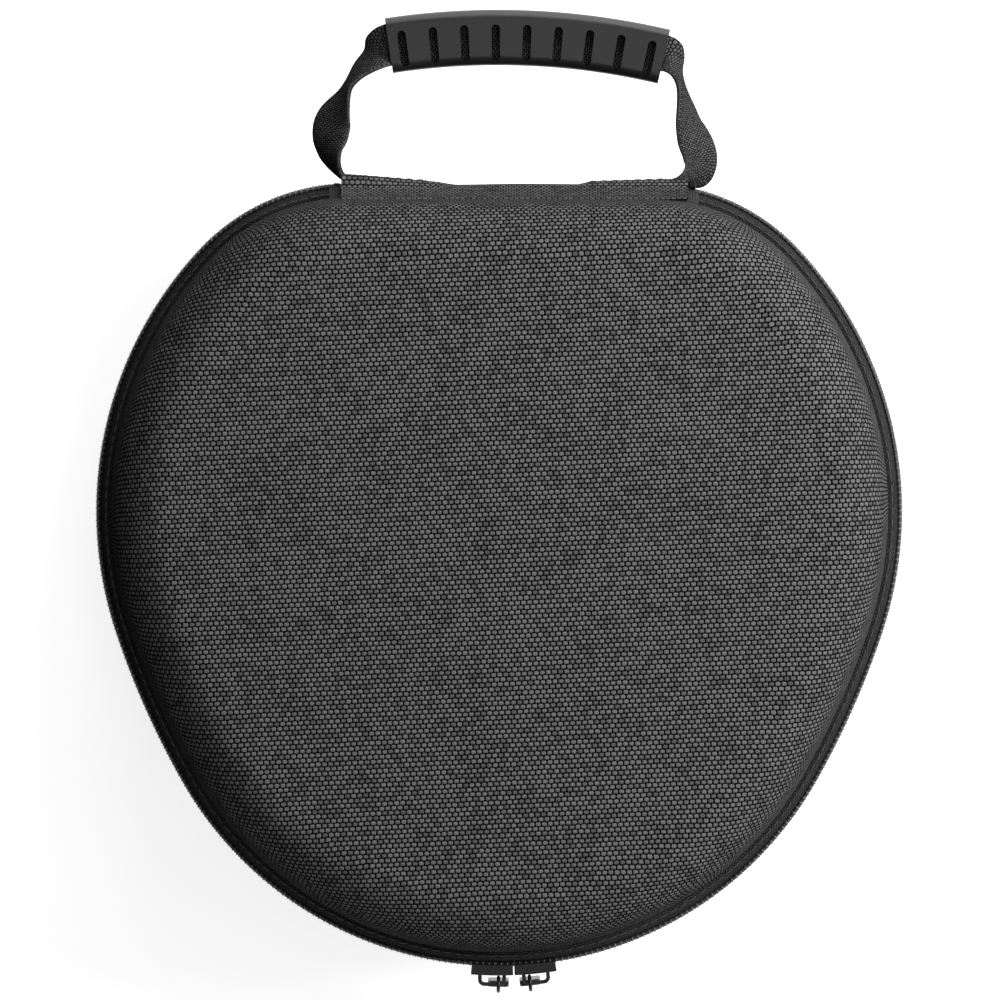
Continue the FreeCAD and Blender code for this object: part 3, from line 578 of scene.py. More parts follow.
@dataclass(frozen=True)
class Arc:
    """One arc of the outline, turned clockwise, with its headings in degrees."""

    centre: Vector
    radius: float
    start: float
    end: float

    @property
    def length(self) -> float:
        """The arc's length."""
        return self.radius * math.radians(self.start - self.end)

    def mirrored(self) -> "Arc":
        """The same arc on the other side of the case, travelled in the same direction."""
        centre = Vector((-self.centre.x, self.centre.y, 0))
        return Arc(centre, self.radius, -180 - self.end, -180 - self.start)


@dataclass(frozen=True)
class Outline:
    """The case's plan outline at the zip's outer edge: a straight back and seven tangent arcs.

    A place on it is an inset from the edge and a distance along it, clockwise from the middle of
    the back.
    """

    back: float = 102.5 * MM
    gap_left: float = -41.15 * MM
    gap_right: float = 49.15 * MM
    gap_side: float = 60 * MM

    @property
    def arcs(self) -> tuple[Arc, ...]:
        """The arcs on the right, from the back corner to the front's middle."""
        return (
            Arc(Vector((38.5224, 48.5, 0)) * MM, 54 * MM, 90.0, 43.2185),
            Arc(Vector((5, 17, 0)) * MM, 100 * MM, 43.2185, -18.3198),
            Arc(Vector((-106.0701, 53.7755, 0)) * MM, 217 * MM, -18.3198, -29.6079),
            Arc(Vector((0, -6.5, 0)) * MM, 95 * MM, -29.6079, -90.0),
        )

    @property
    def half_back(self) -> float:
        """Half the length of the straight back."""
        return self.arcs[0].centre.x

    @property
    def girth(self) -> float:
        """The whole length round the case."""
        return 2 * (self.half_back + sum(arc.length for arc in self.arcs))

    def corner_y(self, x: float) -> float:
        """Where a back corner's arc lies at a place across the case."""
        corner = self.arcs[0]
        return corner.centre.y + math.sqrt(corner.radius**2 - (abs(x) - corner.centre.x) ** 2)

    def locate(self, x: float, y: float) -> tuple[float, Vector, float]:
        """Where a point lies on the outline.

        Args:
            x: The point's place across the case.
            y: Its place along the case.

        Returns:
            The inset, the direction outwards, and the distance along the outline.
        """
        flip = -1 if x < 0 else 1
        x = abs(x)
        first = self.arcs[0]
        if x <= self.half_back and y >= first.centre.y:
            inset, outward, along = self.back - y, Vector((0, 1, 0)), x
        else:
            along = self.half_back
            for arc in self.arcs:
                reach = Vector((x, y, 0)) - arc.centre
                heading = math.degrees(math.atan2(reach.y, reach.x))
                if heading >= arc.end or arc is self.arcs[-1]:
                    break
                along += arc.length
            heading = min(max(heading, arc.end), arc.start)
            inset, outward = arc.radius - reach.length, reach.normalized()
            along += arc.radius * math.radians(arc.start - heading)
        if flip < 0:
            outward.x, along = -outward.x, self.girth - along
        return inset, outward, along

    def place(self, along: float, inset: float) -> tuple[Vector, Vector]:
        """The point at a distance along the outline and an inset from it, and the way outwards."""
        along %= self.girth
        if along > self.girth / 2:
            point, outward = self.place(self.girth - along, inset)
            return Vector((-point.x, point.y, 0)), Vector((-outward.x, outward.y, 0))
        if along <= self.half_back:
            return Vector((along, self.back - inset, 0)), Vector((0, 1, 0))
        left = along - self.half_back
        for arc in self.arcs:
            if left <= arc.length or arc is self.arcs[-1]:
                break
            left -= arc.length
        heading = math.radians(arc.start) - left / arc.radius
        outward = Vector((math.cos(heading), math.sin(heading), 0))
        return arc.centre + outward * (arc.radius - inset), outward

    def sweep(self, section: Section, closed: bool, half: Half, step: float = 2.6 * MM) -> bmesh.types.BMesh:
        """Sweep a section once round the outline.

        Args:
            section: Its points as (inset, rise).
            closed: Whether the last point joins the first.
            half: The half whose side of the parting plane it rises to.
            step: The length of one face along the outline.

        Returns:
            The ring, whose vertices keep their distance along the section as "run".
        """
        bm = bmesh.new()
        run = bm.verts.layers.float.new("run")
        points = []
        reached = 0.0
        for index, (inset, rise) in enumerate(section):
            point = bm.verts.new((0, self.back - inset, half.height(rise)))
            if index:
                reached += math.dist(section[index - 1], section[index])
            point[run] = reached
            points.append(point)
        pairs = list(zip(points, points[1:] + (points[:1] if closed else [])))
        geometry = points + [bm.edges.new(pair) for pair in pairs]
        rights = self.arcs
        front = Arc(rights[3].centre, rights[3].radius, rights[3].start, -180 - rights[3].start)
        stages = [*rights[:3], front, *(arc.mirrored() for arc in reversed(rights[:3]))]
        straight = round(self.half_back / step)
        for stage in [None, *stages, None]:
            steps = straight if stage is None else max(2, round(stage.length / step))
            geometry = bmesh.ops.spin(
                bm,
                geom=geometry,
                cent=(0, 0, 0) if stage is None else stage.centre,
                axis=UP,
                dvec=(self.half_back / steps, 0, 0) if stage is None else (0, 0, 0),
                angle=0.0 if stage is None else math.radians(stage.end - stage.start),
                steps=steps,
            )["geom_last"]
        bmesh.ops.remove_doubles(bm, verts=bm.verts, dist=2 * TINY)
        return bm

    def cut_gap(self, bm: bmesh.types.BMesh) -> None:
        """Cut a closed ring away behind the fabric hinge and cap its two ends."""
        for edge, keep_right in ((self.gap_left, False), (self.gap_right, True)):
            near = [vert for vert in bm.verts if vert.co.y > self.gap_side]
            chosen = set(near)
            geometry = list(near)
            for items in (bm.edges, bm.faces):
                geometry += [item for item in items if set(item.verts) <= chosen]
            bmesh.ops.bisect_plane(bm, geom=geometry, dist=TINY / 10, plane_co=(edge, 0, 0), plane_no=(1, 0, 0))
        gone = []
        for face in bm.faces:
            middle = face.calc_center_median()
            if middle.y > self.gap_side and self.gap_left < middle.x < self.gap_right:
                gone.append(face)
        bmesh.ops.delete(bm, geom=gone, context="FACES")
        bmesh.ops.holes_fill(bm, edges=[edge for edge in bm.edges if edge.is_boundary], sides=0)


OUTLINE = Outline()


# ---- the moulded halves ----


@dataclass(frozen=True)
class MouldedHalf:
    """The woven cover and the lining of one half, over the foam core that the CAD gives."""

    half: Half
    edge_round: float
    crown_radius: float
    rim_inset: float = 4 * MM
    rim_rise: float = 6.2 * MM
    height: float = 48 * MM
    draft: float = math.radians(5)
    cover_thick: float = 0.8 * MM
    core_thick: float = 3.5 * MM
    lining_thick: float = 0.8 * MM
    flat_inset: float = 42 * MM
    wall_rows: int = 9
    round_rows: int = 10
    flat_rows: int = 7

    def section(self, depth: float) -> tuple[Section, int]:
        """The layer's outer side from the rim up the wall, round the edge and in over the top.

        Args:
            depth: How far inside the cover's outer side the layer lies.

        Returns:
            The points as (inset, rise), and the number of the one where the top begins.
        """
        radius = self.edge_round - depth
        lean = math.tan(self.draft)
        centre_rise = self.height - depth - radius
        foot = self.rim_inset + depth
        centre_inset = foot + (centre_rise - self.rim_rise) * lean + radius / math.cos(self.draft)
        arc = []
        for row in range(self.round_rows + 1):
            angle = math.pi - self.draft - (math.pi / 2 - self.draft) * row / self.round_rows
            arc.append((centre_inset + radius * math.cos(angle), centre_rise + radius * math.sin(angle)))
        wall = []
        for row in range(self.wall_rows):
            share = row / self.wall_rows
            wall.append((foot + (arc[0][0] - foot) * share, self.rim_rise + (arc[0][1] - self.rim_rise) * share))
        top = []
        for row in range(1, self.flat_rows + 1):
            top.append((arc[-1][0] + (self.flat_inset - arc[-1][0]) * row / self.flat_rows, arc[-1][1]))
        return wall + arc + top, len(wall + arc) - 1

    def close_top(self, bm: bmesh.types.BMesh, level: float) -> None:
        """Carry the innermost ring on to a pole in the middle of the top."""
        rim = [edge for edge in bm.edges if edge.is_boundary and abs(edge.verts[0].co.z - level) < TINY]
        middle = Vector((0, 8 * MM, level))
        shrink = (0.8, 0.76, 0.7, 0.6, 0.4, 0.0)
        for factor in shrink:
            grown = bmesh.ops.extrude_edge_only(bm, edges=rim)["geom"]
            fresh = {item for item in grown if isinstance(item, bmesh.types.BMVert)}
            for vert in fresh:
                vert.co = middle + (vert.co - middle) * factor
            rim = [item for item in grown if isinstance(item, bmesh.types.BMEdge) and set(item.verts) <= fresh]
        bmesh.ops.remove_doubles(bm, verts=bm.verts, dist=TINY)

    def layer(self, name: str, depth: float, thick: float, finish: Finish, node: str) -> bpy.types.Object:
        """Build one layer as a sheet with its thickness inwards, in place of its CAD node."""
        section, turn = self.section(depth)
        bm = OUTLINE.sweep(section, False, self.half)
        self.close_top(bm, self.half.height(section[-1][1]))
        run = bm.verts.layers.float["run"]
        runs = [0.0]
        for first, second in zip(section, section[1:]):
            runs.append(runs[-1] + math.dist(first, second))
        turn_run, turn_inset = runs[turn], section[turn][0]
        full_rise = section[self.wall_rows][1]
        spots = {}
        for vert in bm.verts:
            inset, outward, _ = OUTLINE.locate(vert.co.x, vert.co.y)
            spot = Vector((vert.co.x, vert.co.y, 0))
            rise = abs(vert.co.z - PARTING)
            drop = 0.0
            if self.crown_radius:
                drop = self.crown_radius - math.sqrt(self.crown_radius**2 - spot.length_squared)
            share = min(1.0, (rise - self.rim_rise) / (full_rise - self.rim_rise))
            vert.co.z -= self.half.value * drop * share
            on_wall = vert[run] < turn_run - TINY
            if on_wall:
                spots[vert] = spot + outward * (turn_run - vert[run] - (turn_inset - inset))
                vert.co += outward * drop * share * math.tan(self.draft)
            else:
                spots[vert] = spot
        outwards(bm, lambda face: face.normal.z * self.half.value)
        keep = {vert: (spots[vert].x, spots[vert].y) for vert in bm.verts}
        cloth_map(bm, lambda vert: keep[vert])
        piece = loose_mesh(name, bm, finish)
        thicken(piece, thick)
        return riding(piece, self.half.body, node)

    def build(self) -> None:
        """Build the cover and the lining, and dress the foam core."""
        word = self.half.body
        self.layer(f"{word}_woven_cover", 0.0, self.cover_thick, COVER_CLOTH, f"{word}_cover")
        inner = self.cover_thick + self.core_thick
        self.layer(f"{word}_knit_lining", inner, self.lining_thick, KNIT, f"{word}_lining")
        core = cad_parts[f"{word}_shell_core"]
        core.data.materials.clear()
        core.data.materials.append(FOAM.material())


# ---- the zip ----


@dataclass(frozen=True)
class ZipHalf:
    """One half's tape, coil, seam stitches and inner binding."""

    half: Half
    coil_width: float = 1.6 * MM
    coil_low: float = 0.35 * MM
    coil_high: float = 2.6 * MM
    wire: float = 0.33 * MM
    turn_pitch: float = 1.6 * MM
    stitch_pitch: float = 3.0 * MM
    stitch_length: float = 2.3 * MM
    stitch_width: float = 0.42 * MM
    gap_margin: float = 2.4 * MM

    @property
    def tape_edge(self) -> Section:
        """The tape's section from the coil over its rounded edge to under the cover, in metres."""
        points = [
            (1.62, 0.38), (1.5, 1.4), (1.5, 2.7), (1.75, 3.75), (2.3, 4.75), (3.0, 5.4), (3.6, 5.55), (4.0, 5.35),
            (4.4, 5.6), (5.0, 6.1), (5.5, 6.1), (5.5, 5.5), (4.35, 4.85), (3.3, 4.6), (2.6, 3.9), (2.3, 2.95),
            (2.3, 0.38),
        ]
        return [(inset * MM, rise * MM) for inset, rise in points]

    def lean(self, depth: float, rise: float) -> float:
        """The inset of the drafted wall's inner side at a rise, for a depth inside its rim."""
        return (4 + depth + (rise - 6.2) * math.tan(math.radians(5))) * MM

    def ring(self, name: str, section: Section, finish: Finish, node: str, gap: bool) -> bpy.types.Object:
        """A closed ring round the rim with its cloth map along the outline."""
        bm = OUTLINE.sweep(section, True, self.half)
        if gap:
            OUTLINE.cut_gap(bm)
        outwards(bm)
        run = bm.verts.layers.float["run"]
        cloth_map(bm, lambda vert: (OUTLINE.locate(vert.co.x, vert.co.y)[2], vert[run]), OUTLINE.girth)
        return riding(loose_mesh(name, bm, finish), self.half.body, *([node] if node else []))

    def spots(self, pitch: float, shift: float) -> list[float]:
        """Even distances along the outline, clear of the hinge gap."""
        right, left = OUTLINE.gap_right, OUTLINE.gap_left
        start = OUTLINE.locate(right, OUTLINE.corner_y(right))[2] + self.gap_margin
        end = OUTLINE.locate(left, OUTLINE.corner_y(left))[2] - self.gap_margin
        count = int((end - start - shift) / pitch)
        return [start + shift + pitch * (number + 0.5) for number in range(count)]

    def coil(self) -> None:
        """Build the coil's turns one by one, and the cord that runs through them."""
        bm = bmesh.new()
        middle_rise = (self.coil_low + self.coil_high) / 2
        reach = (self.coil_width / 2 - self.wire, (self.coil_high - self.coil_low) / 2 - self.wire)
        upright = Matrix.Translation((reach[0], 0, 0)) @ Matrix.Rotation(math.pi / 2, 4, "X")
        bmesh.ops.create_circle(bm, segments=5, radius=self.wire, matrix=upright)
        bmesh.ops.spin(
            bm,
            geom=bm.verts[:] + bm.edges[:],
            cent=(0, 0, 0),
            axis=UP,
            dvec=(0, 0, 0),
            angle=2 * math.pi,
            steps=10,
            use_merge=True,
        )
        outwards(bm)
        bmesh.ops.scale(bm, vec=(1, (reach[1] + self.wire) / (reach[0] + self.wire), 1), verts=bm.verts)
        slant = Matrix.Rotation(math.radians(14), 4, "Y")
        places = []
        offset = 0.0 if self.half is Half.LID else self.turn_pitch / 2
        for along in self.spots(self.turn_pitch, offset):
            point, outward = OUTLINE.place(along, self.coil_width / 2)
            point.z = self.half.height(middle_rise)
            places.append(turned_to(outward, UP.cross(outward), point) @ slant)
        repeated(bm, places)
        word = self.half.body
        riding(loose_mesh(f"{word}_coil_turns", bm, COIL, 80.0), word, f"{word}_zip_coil")
        core = []
        for step in range(8):
            angle = 2 * math.pi * step / 8
            core.append((0.95 * MM + 0.66 * MM * math.cos(angle), middle_rise + 0.8 * MM * math.sin(angle)))
        self.ring(f"{word}_coil_cord", core, THREAD, "", True)

    def stitches(self) -> None:
        """Build the stitches that sew the tape under the cover."""
        places = []
        for along in self.spots(self.stitch_pitch, 0.0):
            point, outward = OUTLINE.place(along, 3.05 * MM)
            point.z = self.half.height(5.5 * MM)
            places.append(turned_to(UP.cross(outward), UP, point))
        word = self.half.body
        size = (self.stitch_length, self.stitch_width, self.stitch_width)
        riding(sewn(f"{word}_seam_stitches", size, places), word, f"{word}_seam_thread")

    def build(self) -> None:
        """Build the tape, the coil, the stitches and the binding."""
        word = self.half.body
        self.ring(f"{word}_tape_edge", self.tape_edge, TAPE_CLOTH, f"{word}_zip_tape", True)
        shell, tape = 5.1, 5.8
        sewn_in = ((shell, 6.2), (shell, 14.0), (tape, 14.0), (tape, 5.5))
        flange = [(self.lean(depth, rise), rise * MM) for depth, rise in sewn_in]
        flange += [(5.3 * MM, 5.5 * MM), (5.3 * MM, 6.2 * MM)]
        self.ring(f"{word}_tape_flange", flange, TAPE_CLOTH, "", False)
        bound = [(tape, 5.3), (tape, 15.0), (tape + 0.15, 15.25)]
        bound += [(tape + 0.45, 15.25), (tape + 0.6, 15.0), (tape + 0.6, 5.3)]
        binding = [(self.lean(depth, rise), rise * MM) for depth, rise in bound]
        self.ring(f"{word}_binding", binding, BINDING, f"{word}_inner_binding", False)
        self.coil()
        self.stitches()


@dataclass(frozen=True)
class ZipStops:
    """The bar tacks across both tapes at the two ends of the coil, and those over the lid's edge."""

    half_height: float = 3.3 * MM
    thread: float = 0.42 * MM
    pitch: float = 0.3 * MM
    count: int = 5
    over_pitch: float = 0.42 * MM
    over_count: int = 7
    over_size: tuple[float, float, float] = (0.55 * MM, 5.4 * MM, 0.7 * MM)
    over_inset: float = 3.3 * MM
    over_rise: float = 5.35 * MM
    over_slope: float = -28.0
    over_jitter: float = 2.0

    def build(self) -> None:
        """Build each tack from upright threads laid side by side, and the threads over the lid's edge."""
        for side, left_end, over_end in ((Side.LEFT, -43 * MM, -43.9 * MM), (Side.RIGHT, 49.5 * MM, 49.0 * MM)):
            low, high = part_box(f"zip_stop_{side.word}")
            places = []
            for number in range(self.count):
                x = left_end + self.pitch / 2 + self.pitch * number
                lift = 0.15 * MM * (-1) ** number
                places.append(Matrix.Translation((x, (low.y + high.y) / 2, PARTING + lift)))
            size = (self.thread, high.y - low.y, 2 * self.half_height)
            riding(sewn(f"bar_tack_{side.word}", size, places), "base", f"zip_stop_{side.word}")
            places = []
            for number in range(self.over_count):
                x = over_end + self.over_pitch * number
                spot = Matrix.Translation((x, OUTLINE.corner_y(x) - self.over_inset, PARTING + self.over_rise))
                slope = math.radians(self.over_slope + self.over_jitter * (number % 2))
                places.append(spot @ Matrix.Rotation(slope, 4, "X"))
            riding(sewn(f"edge_tack_{side.word}", self.over_size, places), "lid")


# ---- the fabric hinge ----


@dataclass(frozen=True)
class FabricHinge:
    """The coarse cloth that joins lid, spine and base, its stitches, and its lining."""

    left: float = -41 * MM
    right: float = 49 * MM
    fold_y: float = 101.3 * MM
    fold_rise: float = 6 * MM
    ease: float = 1.3 * MM
    columns: int = 60
    stitch_pitch: float = 3.2 * MM
    stitch_size: tuple[float, float, float] = (2.3 * MM, 0.5 * MM, 0.5 * MM)

    def bulge(self, x: float, rise: float) -> float:
        """How far the cloth stands out where it passes over the handle's sewn tails."""
        left = max(0.0, (-11.5 * MM - x) * 0.18)
        if x < -15.9 * MM:
            left = min(2.6 * MM, 0.8 * MM + (-15.9 * MM - x) * 0.075)
        right = max(0.0, (x - 20.5 * MM) * 0.23)
        if x > 24 * MM:
            right = min(1.6 * MM, 0.8 * MM + (x - 24 * MM) * 0.032)
        return max(left, right) * min(1.0, max(0.0, (7.4 * MM - rise) / (2 * MM)))

    def strip(self, corners: Section, half: Half) -> bmesh.types.BMesh:
        """A closed strip along the back edge from a section of (along, rise)."""
        bm = bmesh.new()
        run = bm.verts.layers.float.new("run")
        points = []
        reached = 0.0
        for index, (y, rise) in enumerate(corners):
            point = bm.verts.new((self.left, y, half.height(rise)))
            if index:
                reached += math.dist(corners[index - 1], corners[index])
            point[run] = reached
            points.append(point)
        edges = [bm.edges.new(pair) for pair in zip(points, points[1:] + points[:1])]
        step = (self.right - self.left) / self.columns
        last = bmesh.ops.spin(
            bm, geom=points + edges, cent=(0, 0, 0), axis=UP, dvec=(step, 0, 0), angle=0.0, steps=self.columns
        )["geom_last"]
        bmesh.ops.contextual_create(bm, geom=edges)
        bmesh.ops.contextual_create(bm, geom=[item for item in last if isinstance(item, bmesh.types.BMEdge)])
        outwards(bm)
        cloth_map(bm, lambda vert: (vert.co.x, vert[run]))
        return bm

    def panel(self, half: Half) -> None:
        """The half of the cloth from the middle of the spine to one flap, bending at its fold."""
        points = [
            (101.9, 0.0), (101.92, 1.5), (101.92, 3.2), (101.9, 4.4), (101.88, 5.2), (101.8, 5.9), (101.55, 6.6),
            (101.05, 7.4), (100.35, 8.6), (99.6, 10.2), (98.95, 12.0), (98.55, 13.6), (98.2, 14.6), (97.75, 14.5),
            (97.85, 13.0), (98.2, 9.4), (98.6, 7.4), (99.8, 6.9), (100.5, 6.4), (100.75, 5.6), (100.75, 4.4),
            (100.75, 3.2), (100.75, 1.5), (100.75, 0.0),
        ]
        bm = self.strip([(y * MM, rise * MM) for y, rise in points], half)
        for vert in bm.verts:
            if vert.co.y > self.fold_y:
                wave = math.sin(vert.co.x / (9.5 * MM)) + 0.6 * math.sin(vert.co.x / (5.3 * MM) + 1)
                vert.co.y += 0.1 * MM * wave + self.bulge(vert.co.x, abs(vert.co.z - PARTING))
        piece = loose_mesh(f"{half.body}_hinge_panel", bm, HINGE_CLOTH)
        near = Vector((0, self.fold_y, half.height(self.fold_rise - self.ease)))
        far = Vector((0, self.fold_y, half.height(self.fold_rise + self.ease)))
        nodes = [f"{half.body}_hinge_flap"] + (["hinge_panel"] if half is Half.LID else [])
        if half is Half.LID:
            bending(piece, ("spine", "lid"), near, far, *nodes)
        else:
            bending(piece, ("base", "spine"), far, near, *nodes)

    def stitches(self, half: Half) -> None:
        """The row of stitches that sews a flap to its cover."""
        count = int((self.right - self.left) / self.stitch_pitch)
        places = []
        for number in range(count):
            x = self.left + self.stitch_pitch * (number + 0.6)
            places.append(Matrix.Translation((x, 98.9 * MM, half.height(12.4 * MM))))
        riding(sewn(f"{half.body}_flap_stitches", self.stitch_size, places), half.body)

    def build(self) -> None:
        """Build both halves of the cloth, their stitches and the lining behind the spine."""
        for half in Half:
            self.panel(half)
            self.stitches(half)
        low = [(99.9, -5.3), (100.7, -5.3), (100.7, 5.3), (99.9, 5.3)]
        bm = self.strip([(y * MM, rise * MM) for y, rise in low], Half.LID)
        upright = [edge for edge in bm.edges if abs(edge.verts[0].co.x - edge.verts[1].co.x) > TINY]
        corners = [edge for edge in upright if edge.calc_face_angle(0.0) > 1.0]
        bmesh.ops.bevel(bm, geom=corners, offset=0.25 * MM, segments=2, profile=0.5, affect="EDGES", material=-1)
        riding(loose_mesh("spine_lining", bm, KNIT), "spine", "hinge_gusset")


# ---- the handle ----


@dataclass(frozen=True)
class Station:
    """One place along a strap: its middle, the turn of its width from flat, and its width, in mm."""

    x: float
    y: float
    twist: float = 0.0
    width: float = 11.4


@dataclass(frozen=True)
class Strap:
    """A run of ribbed webbing through stations, lofted as one closed ribbon."""

    name: str
    stations: tuple[Station, ...]
    thick: float = 1.8 * MM
    segments: int = 20
    steps: int = 7

    def between(self, values: list[float], share: float) -> float:
        """A value on a smooth curve from the second of four values to the third."""
        before, start, end, after = values
        slope_in, slope_out = (end - before) / 2, (after - start) / 2
        two = share * share
        three = two * share
        return (
            (2 * three - 3 * two + 1) * start
            + (three - 2 * two + share) * slope_in
            + (3 * two - 2 * three) * end
            + (three - two) * slope_out
        )

    def path(self) -> list[tuple[Vector, float, float]]:
        """Close places along the strap: the middle, the twist in radians and half the width."""
        count = len(self.stations)
        places = []
        for index in range(count - 1):
            near = [self.stations[min(max(index + shift, 0), count - 1)] for shift in (-1, 0, 1, 2)]
            last = index == count - 2
            for step in range(self.steps + (1 if last else 0)):
                share = step / self.steps
                values = ([getattr(station, name) for station in near] for name in ("x", "y", "twist", "width"))
                x, y, twist, width = (self.between(four, share) for four in values)
                places.append((Vector((x * MM, y * MM, PARTING)), math.radians(twist), width * MM / 2))
        return places

    def build(self) -> bpy.types.Object:
        """Loft the ribbon.

        Returns:
            The strap, with its cloth map across its width and along its run.
        """
        places = self.path()
        bm = bmesh.new()
        across = bm.verts.layers.float.new("across")
        rise = bm.verts.layers.float.new("rise")
        along = bm.verts.layers.float.new("along")
        bmesh.ops.create_circle(bm, segments=self.segments, radius=1.0)
        for vert in bm.verts:
            vert[across] = math.copysign(abs(vert.co.x) ** 0.4, vert.co.x)
            vert[rise] = math.copysign(abs(vert.co.y) ** 0.7, vert.co.y)
        first = list(bm.edges)
        ring, rim = list(bm.verts), first
        reached = 0.0
        for index, (middle, twist, half_width) in enumerate(places):
            if index:
                grown = bmesh.ops.extrude_edge_only(bm, edges=rim)["geom"]
                ring = [item for item in grown if isinstance(item, bmesh.types.BMVert)]
                fresh = set(ring)
                rim = [item for item in grown if isinstance(item, bmesh.types.BMEdge) and set(item.verts) <= fresh]
                reached += (middle - places[index - 1][0]).length
            before = places[max(index - 1, 0)][0]
            after = places[min(index + 1, len(places) - 1)][0]
            heading = (after - before).normalized()
            sideways = Vector((-heading.y, heading.x, 0))
            broad = sideways * math.cos(twist) + UP * math.sin(twist)
            thin = UP * math.cos(twist) - sideways * math.sin(twist)
            for vert in ring:
                vert.co = middle + broad * vert[across] * half_width + thin * vert[rise] * self.thick / 2
                vert[along] = reached
        bmesh.ops.contextual_create(bm, geom=first)
        bmesh.ops.contextual_create(bm, geom=rim)
        bmesh.ops.recalc_face_normals(bm, faces=bm.faces)
        cloth_map(bm, lambda vert: (vert[across] * 5.7 * MM + (12 * MM if vert[rise] < 0 else 0), vert[along]))
        return loose_mesh(self.name, bm, WEBBING, 70.0)


@dataclass(frozen=True)
class CarryHandle:
    """The webbing handle: two sewn straps, the grip, and the strap that shows in its slots."""

    swing_y: float = 106 * MM
    bend_x: float = -0.425
    bend_y: float = -49.85
    bend_radius: float = 190.0
    core_start: float = 98.4
    core_sweep: float = 21.4
    core_steps: int = 12
    core_width: float = 12.3
    cover_y: float = 101.8 * MM
    stitch_size: tuple[float, float, float] = (2.1 * MM, 0.55 * MM, 0.55 * MM)

    def strap(self, side: Side) -> Strap:
        """The strap on one side, from its sewn tail on the spine to the grip."""
        if side is Side.LEFT:
            stations = (
                Station(-15.5, 101.6, -90), Station(-23, 102.1, -90), Station(-31, 102.7, -90),
                Station(-37.6, 103.2, -90), Station(-40.4, 103.9, -90), Station(-42.0, 105.6, -83),
                Station(-43.2, 107.9, -71), Station(-43.95, 110.6, -56), Station(-43.95, 113.8, -38),
                Station(-43.5, 117.4, -33), Station(-42.65, 120.6, -46), Station(-40.5, 125.2, -73),
                Station(-38.9, 128.2, -80), Station(-36.0, 131.9, -68), Station(-32.6, 134.8, -52),
                Station(-30.4, 137.0, -16), Station(-28.7, 138.0), Station(-27.2, 138.3),
            )
        else:
            stations = (
                Station(24, 101.7, 90), Station(31, 101.85, 90), Station(38, 102.1, 90), Station(44.6, 102.4, 90),
                Station(48.3, 103.2, 74), Station(50.9, 104.7, 46), Station(52.2, 107.2, 42),
                Station(52.0, 110.2, 39), Station(50.7, 113.6, 40), Station(49.3, 117.7, 54),
                Station(48.5, 122.0, 68), Station(47.6, 126.2, 80), Station(46.9, 128.8, 82),
                Station(46.0, 131.2, 74), Station(44.9, 133.4, 48), Station(43.7, 134.7, 14), Station(42.4, 135.26),
                Station(41.0, 135.57),
            )
        return Strap(f"carry_strap_{side.word}", stations)

    def tail_stitches(self, side: Side) -> None:
        """A sewn box on the strap's tail, and a bar tack at its end."""
        start, end = (-36.5, -19.0) if side is Side.LEFT else (23.0, 44.0)

        def face(x: float) -> float:
            """Where the hinge cloth's outer side lies over the tail."""
            return self.cover_y + FabricHinge().bulge(x, 0.0)

        places = []
        count = int((end - start) / 2.9)
        for number in range(count):
            x = (start + 2.9 * (number + 0.5)) * MM
            for lift in (-3.9, 3.9):
                places.append(Matrix.Translation((x, face(x), PARTING + lift * MM)))
        for x in (start * MM, (start + 2.9 * count) * MM):
            for lift in (-2.9, 0.0, 2.9):
                spot = Matrix.Translation((x, face(x), PARTING + lift * MM))
                places.append(spot @ Matrix.Rotation(math.pi / 2, 4, "Y"))
        riding(sewn(f"tail_stitches_{side.word}", self.stitch_size, places), "spine")

    def build(self) -> None:
        """Build the straps, the grip and its core."""
        for side in Side:
            piece = self.strap(side).build()
            start = Vector((0, self.swing_y - 1.6 * MM, PARTING))
            end = Vector((0, self.swing_y + 2.6 * MM, PARTING))
            bending(piece, ("spine", "handle"), start, end, f"strap_leg_{side.word}", f"strap_tail_{side.word}")
            self.tail_stitches(side)
        grip = softened("handle_grip", "slotted_grip", RUBBER, 0.3 * MM)
        riding(grip, "handle", "handle_grip")
        stations = []
        reach = self.bend_radius
        for number in range(self.core_steps + 1):
            angle = math.radians(self.core_start - self.core_sweep * number / self.core_steps)
            place = (self.bend_x + reach * math.cos(angle), self.bend_y + reach * math.sin(angle))
            stations.append(Station(*place, width=self.core_width))
        core = Strap("grip_webbing", tuple(stations), steps=4).build()
        riding(core, "handle", "handle_strap_core")


# ---- sliders and pulls ----


@dataclass(frozen=True)
class ZipSlider:
    """One slider: its casting, the bow over it, and its pull."""

    side: Side
    edge: float = 0.18 * MM

    def build(self) -> None:
        """Build the slider's pieces as softened copies of their CAD nodes."""
        word = self.side.word
        body = softened(f"slider_{word}_body", f"casting_{word}", CASTING, self.edge)
        riding(body, f"slider_{word}", f"slider_{word}_body")
        crown = softened(f"slider_{word}_crown", f"bow_{word}", CASTING, self.edge)
        riding(crown, f"slider_{word}", f"slider_{word}_crown")
        pull = softened(f"pull_{word}", f"zip_pull_{word}", CASTING, self.edge)
        riding(pull, f"pull_{word}", f"pull_{word}")


# ---- fittings inside ----


